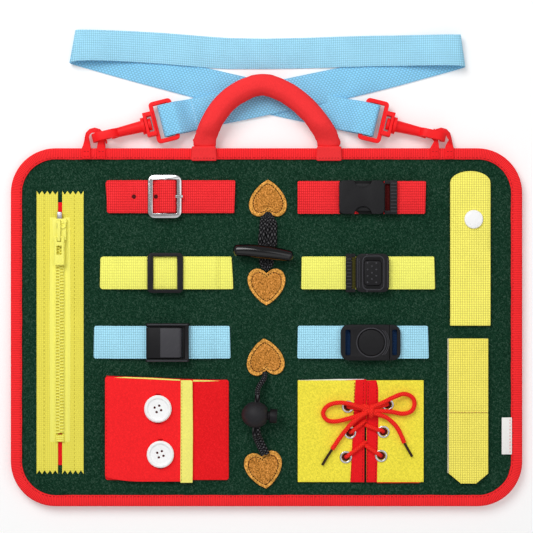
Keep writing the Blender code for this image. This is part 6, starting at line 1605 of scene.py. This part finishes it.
# Each panel: its side, its width, where its trim's outer seam runs at the top, middle and bottom, where the
# inner seam starts, and its trim's outline
LACE_SIDES = (
    ("left", 0.0520, 0.0688, 0.0674, 0.0657, 0.0756,
     [(0.0695, -0.0410), (0.0779, -0.0410), (0.0778, -0.0722), (0.0765, -0.0742), (0.0764, -0.1209),
      (0.0654, -0.1209), (0.0672, -0.0850)]),
    ("right", 0.0447, 0.0861, 0.0861, 0.0849, 0.0794,
     [(0.0780, -0.0414), (0.0858, -0.0414), (0.0872, -0.0470), (0.0874, -0.0700), (0.0862, -0.1209),
      (0.0780, -0.1209), (0.0781, -0.0800)]),
)
# What shows of the linings round the panels: the outline, the height over the first layer's level and the look
LACE_LININGS = {
    "top": ([(0.0248, -0.0416), (0.0764, -0.0416), (0.0764, -0.0404), (0.0560, -0.0405), (0.0248, -0.0413)],
            0.0009, "tag_white"),
    "red": ([(0.0560, -0.0417), (0.0780, -0.0417), (0.0780, -0.0407), (0.0700, -0.0409)], 0.0013, "felt_red"),
    "low": ([(0.0862, -0.1207), (0.0862, -0.1217), (0.1190, -0.1216), (0.1222, -0.1205)], 0.0012, "felt_red"),
}
# The lace's loops and tails from the knot outwards, and the tips of its tails, in millimetres
LACE_ROUTES = {
    "left_loop": ((77.0, -63.0, 14.7), (70.0, -60.8, 15.6), (63.8, -59.0, 15.6), (55.8, -58.4, 14.0),
                  (48.0, -60.8, 12.6), (44.0, -66.5, 12.0), (47.0, -72.0, 12.0), (53.8, -73.2, 12.2),
                  (63.8, -70.8, 12.9), (72.0, -68.0, 13.8), (78.0, -65.5, 14.7)),
    "right_loop": ((81.0, -62.0, 14.7), (88.0, -59.2, 15.6), (97.5, -54.6, 15.6), (106.3, -51.6, 14.0),
                   (113.0, -53.9, 12.6), (115.3, -59.3, 12.0), (113.0, -65.0, 12.0), (106.3, -67.2, 12.2),
                   (97.5, -65.6, 12.9), (88.0, -64.8, 13.8), (81.0, -64.5, 14.7)),
    "left_tail": ((78.0, -66.0, 14.7), (72.8, -69.0, 14.9), (65.9, -74.8, 14.4), (58.5, -84.1, 12.4),
                  (51.1, -94.9, 11.6)),
    "right_tail": ((81.0, -65.5, 14.7), (88.0, -68.0, 14.0), (94.1, -70.5, 12.9), (100.9, -76.8, 12.2),
                   (104.9, -84.1, 12.0), (107.3, -89.8, 11.8)),
}
LACE_TIPS = {
    "left_tail": ((51.3, -94.6, 11.6), (47.2, -101.0, 11.3), (43.5, -107.3, 11.0)),
    "right_tail": ((107.2, -89.5, 11.8), (110.2, -95.0, 11.5), (113.5, -100.6, 11.0)),
}


def lace_strand(name, route, radius=0.0017):
    """A strand of the lace through places in millimetres, and the path it takes."""
    path = smooth_path(metres(route), 6)
    return cord(name, path, radius, "lace_red", 4), path


def make_lace_patch():
    """Two felt panels laced over a slit: eyelets, red trims, crossed lace, knot, two loops and two tails."""
    top = LAYER_1 + 0.0018
    level = top + 0.00062
    for k, (side, width, edge, middle, low_edge, inner, outline) in enumerate(LACE_SIDES):
        panel = cloth_copy(f"lace_panel_{side}", "felt_yellow", soft=0.0004, cell=0.0045, waves=0.0003, seed=61 + k)
        trim = plate(f"lace_trim_{side}", outline, top - 0.0002, top + 0.0006, "felt_red", 0.0003, "board", 0.004,
                     0.0002, 64 + k)
        path = [(edge, -0.0425, level), (middle, -0.0850, level), (low_edge, -0.1198, level)]
        seam = stitch_row(f"lace_trim_stitches_{side}", path, "thread_dark_red", pitch=0.0026, thick=0.00050)
        stitch_row(f"lace_inner_stitches_{side}", [(inner, -0.0425, level), (inner - 0.0006, -0.1198, level)],
                   "thread_dark_red", pitch=0.0026, thick=0.00050)
    for k, place in enumerate(EYELETS):
        ring(f"eyelet_{k}", place, 0.0049, 0.00325, top - 0.0004, top + 0.0011, "metal_bright", 36, 0.0005)
        # The eyelet wells are dark red discs: painted shade
        disc(f"eyelet_well_{k}", place, 0.0034, LAYER_1 + 0.0001, top - 0.0002, "hole_red_painted_shade")
    # A dark strip along the slit between the panels: painted shade
    plate("lace_slit", rectangle(0.0760, -0.1212, 0.0783, -0.0700), LAYER_1, LAYER_1 + 0.0003, "plastic_painted_shade", 0.0)
    for name, (outline, height, look) in LACE_LININGS.items():
        plate(f"lace_lining_{name}", outline, LAYER_1, LAYER_1 + height, look, 0.0001)
    for k, (start, end) in enumerate(((1, (77.0, -72.6)), (4, (77.4, -76.2)), (2, (77.0, -89.6)), (5, (77.4, -92.2)))):
        x, y = EYELETS[start][0] * 1000, EYELETS[start][1] * 1000
        inward = 1 if end[0] > x else -1
        route = [(x + inward * 0.2, y, 8.9), (x + inward * 1.6, y + 1.2, 10.9)]
        for share, z in ((0.35, 11.6), (0.6, 11.6), (0.85, 11.3)):
            route.append((x + (end[0] - x) * share, y + (end[1] - y) * share, z))
        route.append((end[0], end[1], 9.2))
        lace_strand(f"lace_cross_{k}", route, 0.0016)
    knot, _ = lace_strand("lace_knot", ((75.2, -63.2, 13.4), (77.6, -63.9, 14.0), (80.2, -64.8, 14.2),
                                        (82.8, -65.6, 13.8), (85.0, -66.0, 13.2)), 0.0027)
    wrap, _ = lace_strand("lace_wrap", ((82.3, -61.0, 12.6), (81.8, -62.4, 15.0), (81.5, -65.0, 16.0),
                                        (81.4, -67.4, 15.0), (81.2, -69.2, 12.8)), 0.0019)
    bump, _ = lace_strand("lace_bump", ((74.6, -61.4, 12.8), (76.4, -61.0, 14.6), (78.6, -61.8, 15.2),
                                        (80.0, -63.6, 14.2)), 0.0018)
    pick(knot)
    wrap.select_set(True)
    bump.select_set(True)
    bpy.ops.object.join()
    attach(knot, "board")
    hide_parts("lace")
    for name, route in LACE_ROUTES.items():
        piece, path = lace_strand(f"lace_{name}", route)
        if name in LACE_TIPS:
            ends = [cord(f"lace_tip_{name}", metres(LACE_TIPS[name]), 0.00100, "lace_tip", 3)]
    for side, start in (("left", EYELETS[0]), ("right", EYELETS[3])):
        x, y = start[0] * 1000, start[1] * 1000
        lace_strand(f"lace_bar_{side}", ((x, y, 8.9), (x + (1.6 if side == "left" else -1.6), y - 0.3, 10.8),
                                         ((x + 79) / 2, (y - 64) / 2, 12.4), (79.5, -64.2, 13.6)), 0.0015)


# The two straps at the right-hand side


def make_snap_strap():
    """The yellow strap and the white cap of its press stud."""
    cloth_copy("snap_strap", "web_snap", soft=0.0004, cell=0.004, waves=0.0002, seed=71)
    refined("snap_cap", width=0.0004, look="plastic_white", sharp=60)


def make_grip_strap():
    """The yellow strap, folded back, on its under-layer with the pale hook tape."""
    base = cloth_copy("grip_base", "hook_pale", soft=0.0003, cell=0.004, waves=0.0001, seed=75)
    base.data.materials.append(finish("web_grip"))
    for face in base.data.polygons:
        face.material_index = 1 if face.center.y > -0.0668 and face.center.z > LAYER_1 + 0.0016 else 0
    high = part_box("grip_base")[1].z
    stitch_row("grip_seam", [(0.1432, -0.0662, high), (0.1722, -0.0662, high)], "thread_orange", pitch=0.0026,
               length=0.0020, thick=0.0006)
    cloth_copy("grip_strap", "web_grip", soft=0.0004, cell=0.004, waves=0.0002, seed=76)


# Stage


# Each lamp: its place, its size in metres and its power in watts
LAMPS = (((-0.50, 0.80, 1.15), 0.8, 12.0), ((0.7, 0.25, 1.35), 1.1, 4.0), ((0.0, -0.8, 1.2), 1.2, 2.3))
TABLE_GLOW, SKY_STRENGTH, CAMERA_Y, SENSOR = 0.11, 0.37, 0.0475, 36


def make_stage():
    """A plain pale table, soft light from above and one camera straight over the board."""
    rest()
    sizes = bpy.context.scene.board_sizes
    bpy.ops.mesh.primitive_plane_add(size=6)
    table = bpy.context.object
    table.name = "table"
    material = bpy.data.materials.new("table")
    material.use_nodes = True
    tree = material.node_tree
    shader = tree.nodes["Principled BSDF"].inputs
    for key, value in (("Base Color", (0.93, 0.93, 0.93, 1)), ("Roughness", 0.9), ("Specular IOR Level", 0.1),
                       ("Emission Color", (1, 1, 1, 1))):
        shader[key].default_value = value
    rays = node(tree, "ShaderNodeLightPath").outputs
    seen = maths(tree, "MAXIMUM", rays["Is Camera Ray"], rays["Is Glossy Ray"])
    seen = maths(tree, "MAXIMUM", seen, rays["Is Transmission Ray"])
    tree.links.new(times(tree, seen, TABLE_GLOW), shader["Emission Strength"])
    table.data.materials.append(material)
    for i, (place, size, power) in enumerate(LAMPS):
        bpy.ops.object.light_add(type="AREA", location=place)
        lamp = bpy.context.object
        lamp.name = f"lamp_{i}"
        lamp.data.size = size
        lamp.data.energy = power
        lamp.rotation_euler = (-Vector(place)).to_track_quat("-Z", "Y").to_euler()
    world = bpy.data.worlds.new("sky")
    bpy.context.scene.world = world
    world.use_nodes = True
    sky = world.node_tree.nodes["Background"].inputs
    sky["Color"].default_value = (1, 1, 1, 1)
    sky["Strength"].default_value = SKY_STRENGTH
    bpy.ops.object.camera_add(location=(0, CAMERA_Y, sizes.camera_height))
    camera = bpy.context.object
    camera.data.sensor_width = SENSOR
    camera.data.lens = SENSOR * (sizes.camera_height - EDGE_TOP) / sizes.view_width
    bpy.context.scene.camera = camera
    bpy.context.scene.view_settings.view_transform = "Standard"


STEPS = (
    ("panel", "Panel", make_panel, "Adds the felt panel, its edge tape and its side tag"),
    ("handle", "Handle", make_handle, "Adds the padded carry handle and its sewn ends"),
    ("carry", "Shoulder strap", make_carry, "Adds the tab loops, snap hooks and shoulder strap"),
    ("zip", "Zip", make_zip, "Adds the zip with its teeth, slider and pull"),
    ("belt", "Belt", make_belt, "Adds the red belt and its metal buckle"),
    ("glide", "Tri-glide", make_glide, "Adds the yellow strap and its slide"),
    ("cam", "Cam buckle", make_cam, "Adds the blue strap and its cam buckle"),
    ("clip", "Side-release buckle", make_clip, "Adds the red strap and its side-release buckle"),
    ("press", "Centre-release buckle", make_press, "Adds the yellow strap and its centre-release buckle"),
    ("round", "Round-button buckle", make_round, "Adds the blue strap and its round-button buckle"),
    ("hearts", "Hearts and cords", make_hearts, "Adds the four hearts, the toggle and the cord lock"),
    ("button_patch", "Button patch", make_button_patch, "Adds the red patch and its two buttons"),
    ("lace_patch", "Lacing patch", make_lace_patch, "Adds the yellow patch, its eyelets and its lace"),
    ("snap_strap", "Snap strap", make_snap_strap, "Adds the yellow strap with its press stud"),
    ("grip_strap", "Grip strap", make_grip_strap, "Adds the yellow strap with its hook tape"),
    ("stage", "Stage", make_stage, "Adds the table, the lights and the camera"),
)


def operator_for(key, label, job, words):
    """The operator class of one step."""

    def execute(self, context):
        job()
        return {"FINISHED"}

    return type(f"BUSYBOARD_OT_{key}", (bpy.types.Operator,), {
        "bl_idname": f"busyboard.{key}", "bl_label": label, "bl_description": words, "__doc__": words,
        "bl_options": {"REGISTER", "UNDO"}, "execute": execute})


OPERATORS = [operator_for(*step) for step in STEPS]


class BUSYBOARD_PT_panel(bpy.types.Panel):
    """The board's sizes, colours and steps."""

    bl_label = "Busy board"
    bl_space_type = "VIEW_3D"
    bl_region_type = "UI"
    bl_category = "Busy board"

    def draw(self, context):
        layout = self.layout
        for key, label, _, _ in STEPS:
            layout.operator(f"busyboard.{key}", text=label)
        sizes = context.scene.board_sizes
        for name in sizes.__annotations__:
            layout.prop(sizes, name)
        colours = context.scene.board_colours
        for name in COLOURS:
            layout.prop(colours, name)


CLASSES = [BoardColours, BoardSizes, *OPERATORS, BUSYBOARD_PT_panel]


def register():
    for kind in CLASSES:
        bpy.utils.register_class(kind)
    bpy.types.Scene.board_colours = bpy.props.PointerProperty(type=BoardColours)
    bpy.types.Scene.board_sizes = bpy.props.PointerProperty(type=BoardSizes)


def unregister():
    del bpy.types.Scene.board_sizes
    del bpy.types.Scene.board_colours
    for kind in reversed(CLASSES):
        bpy.utils.unregister_class(kind)


def main():
    register()
    for key, _, _, _ in STEPS:
        done = getattr(bpy.ops.busyboard, key)()
        if "FINISHED" not in done:
            raise RuntimeError(f"busyboard.{key} did not finish")
    rest()


if __name__ == "__main__":
    main()
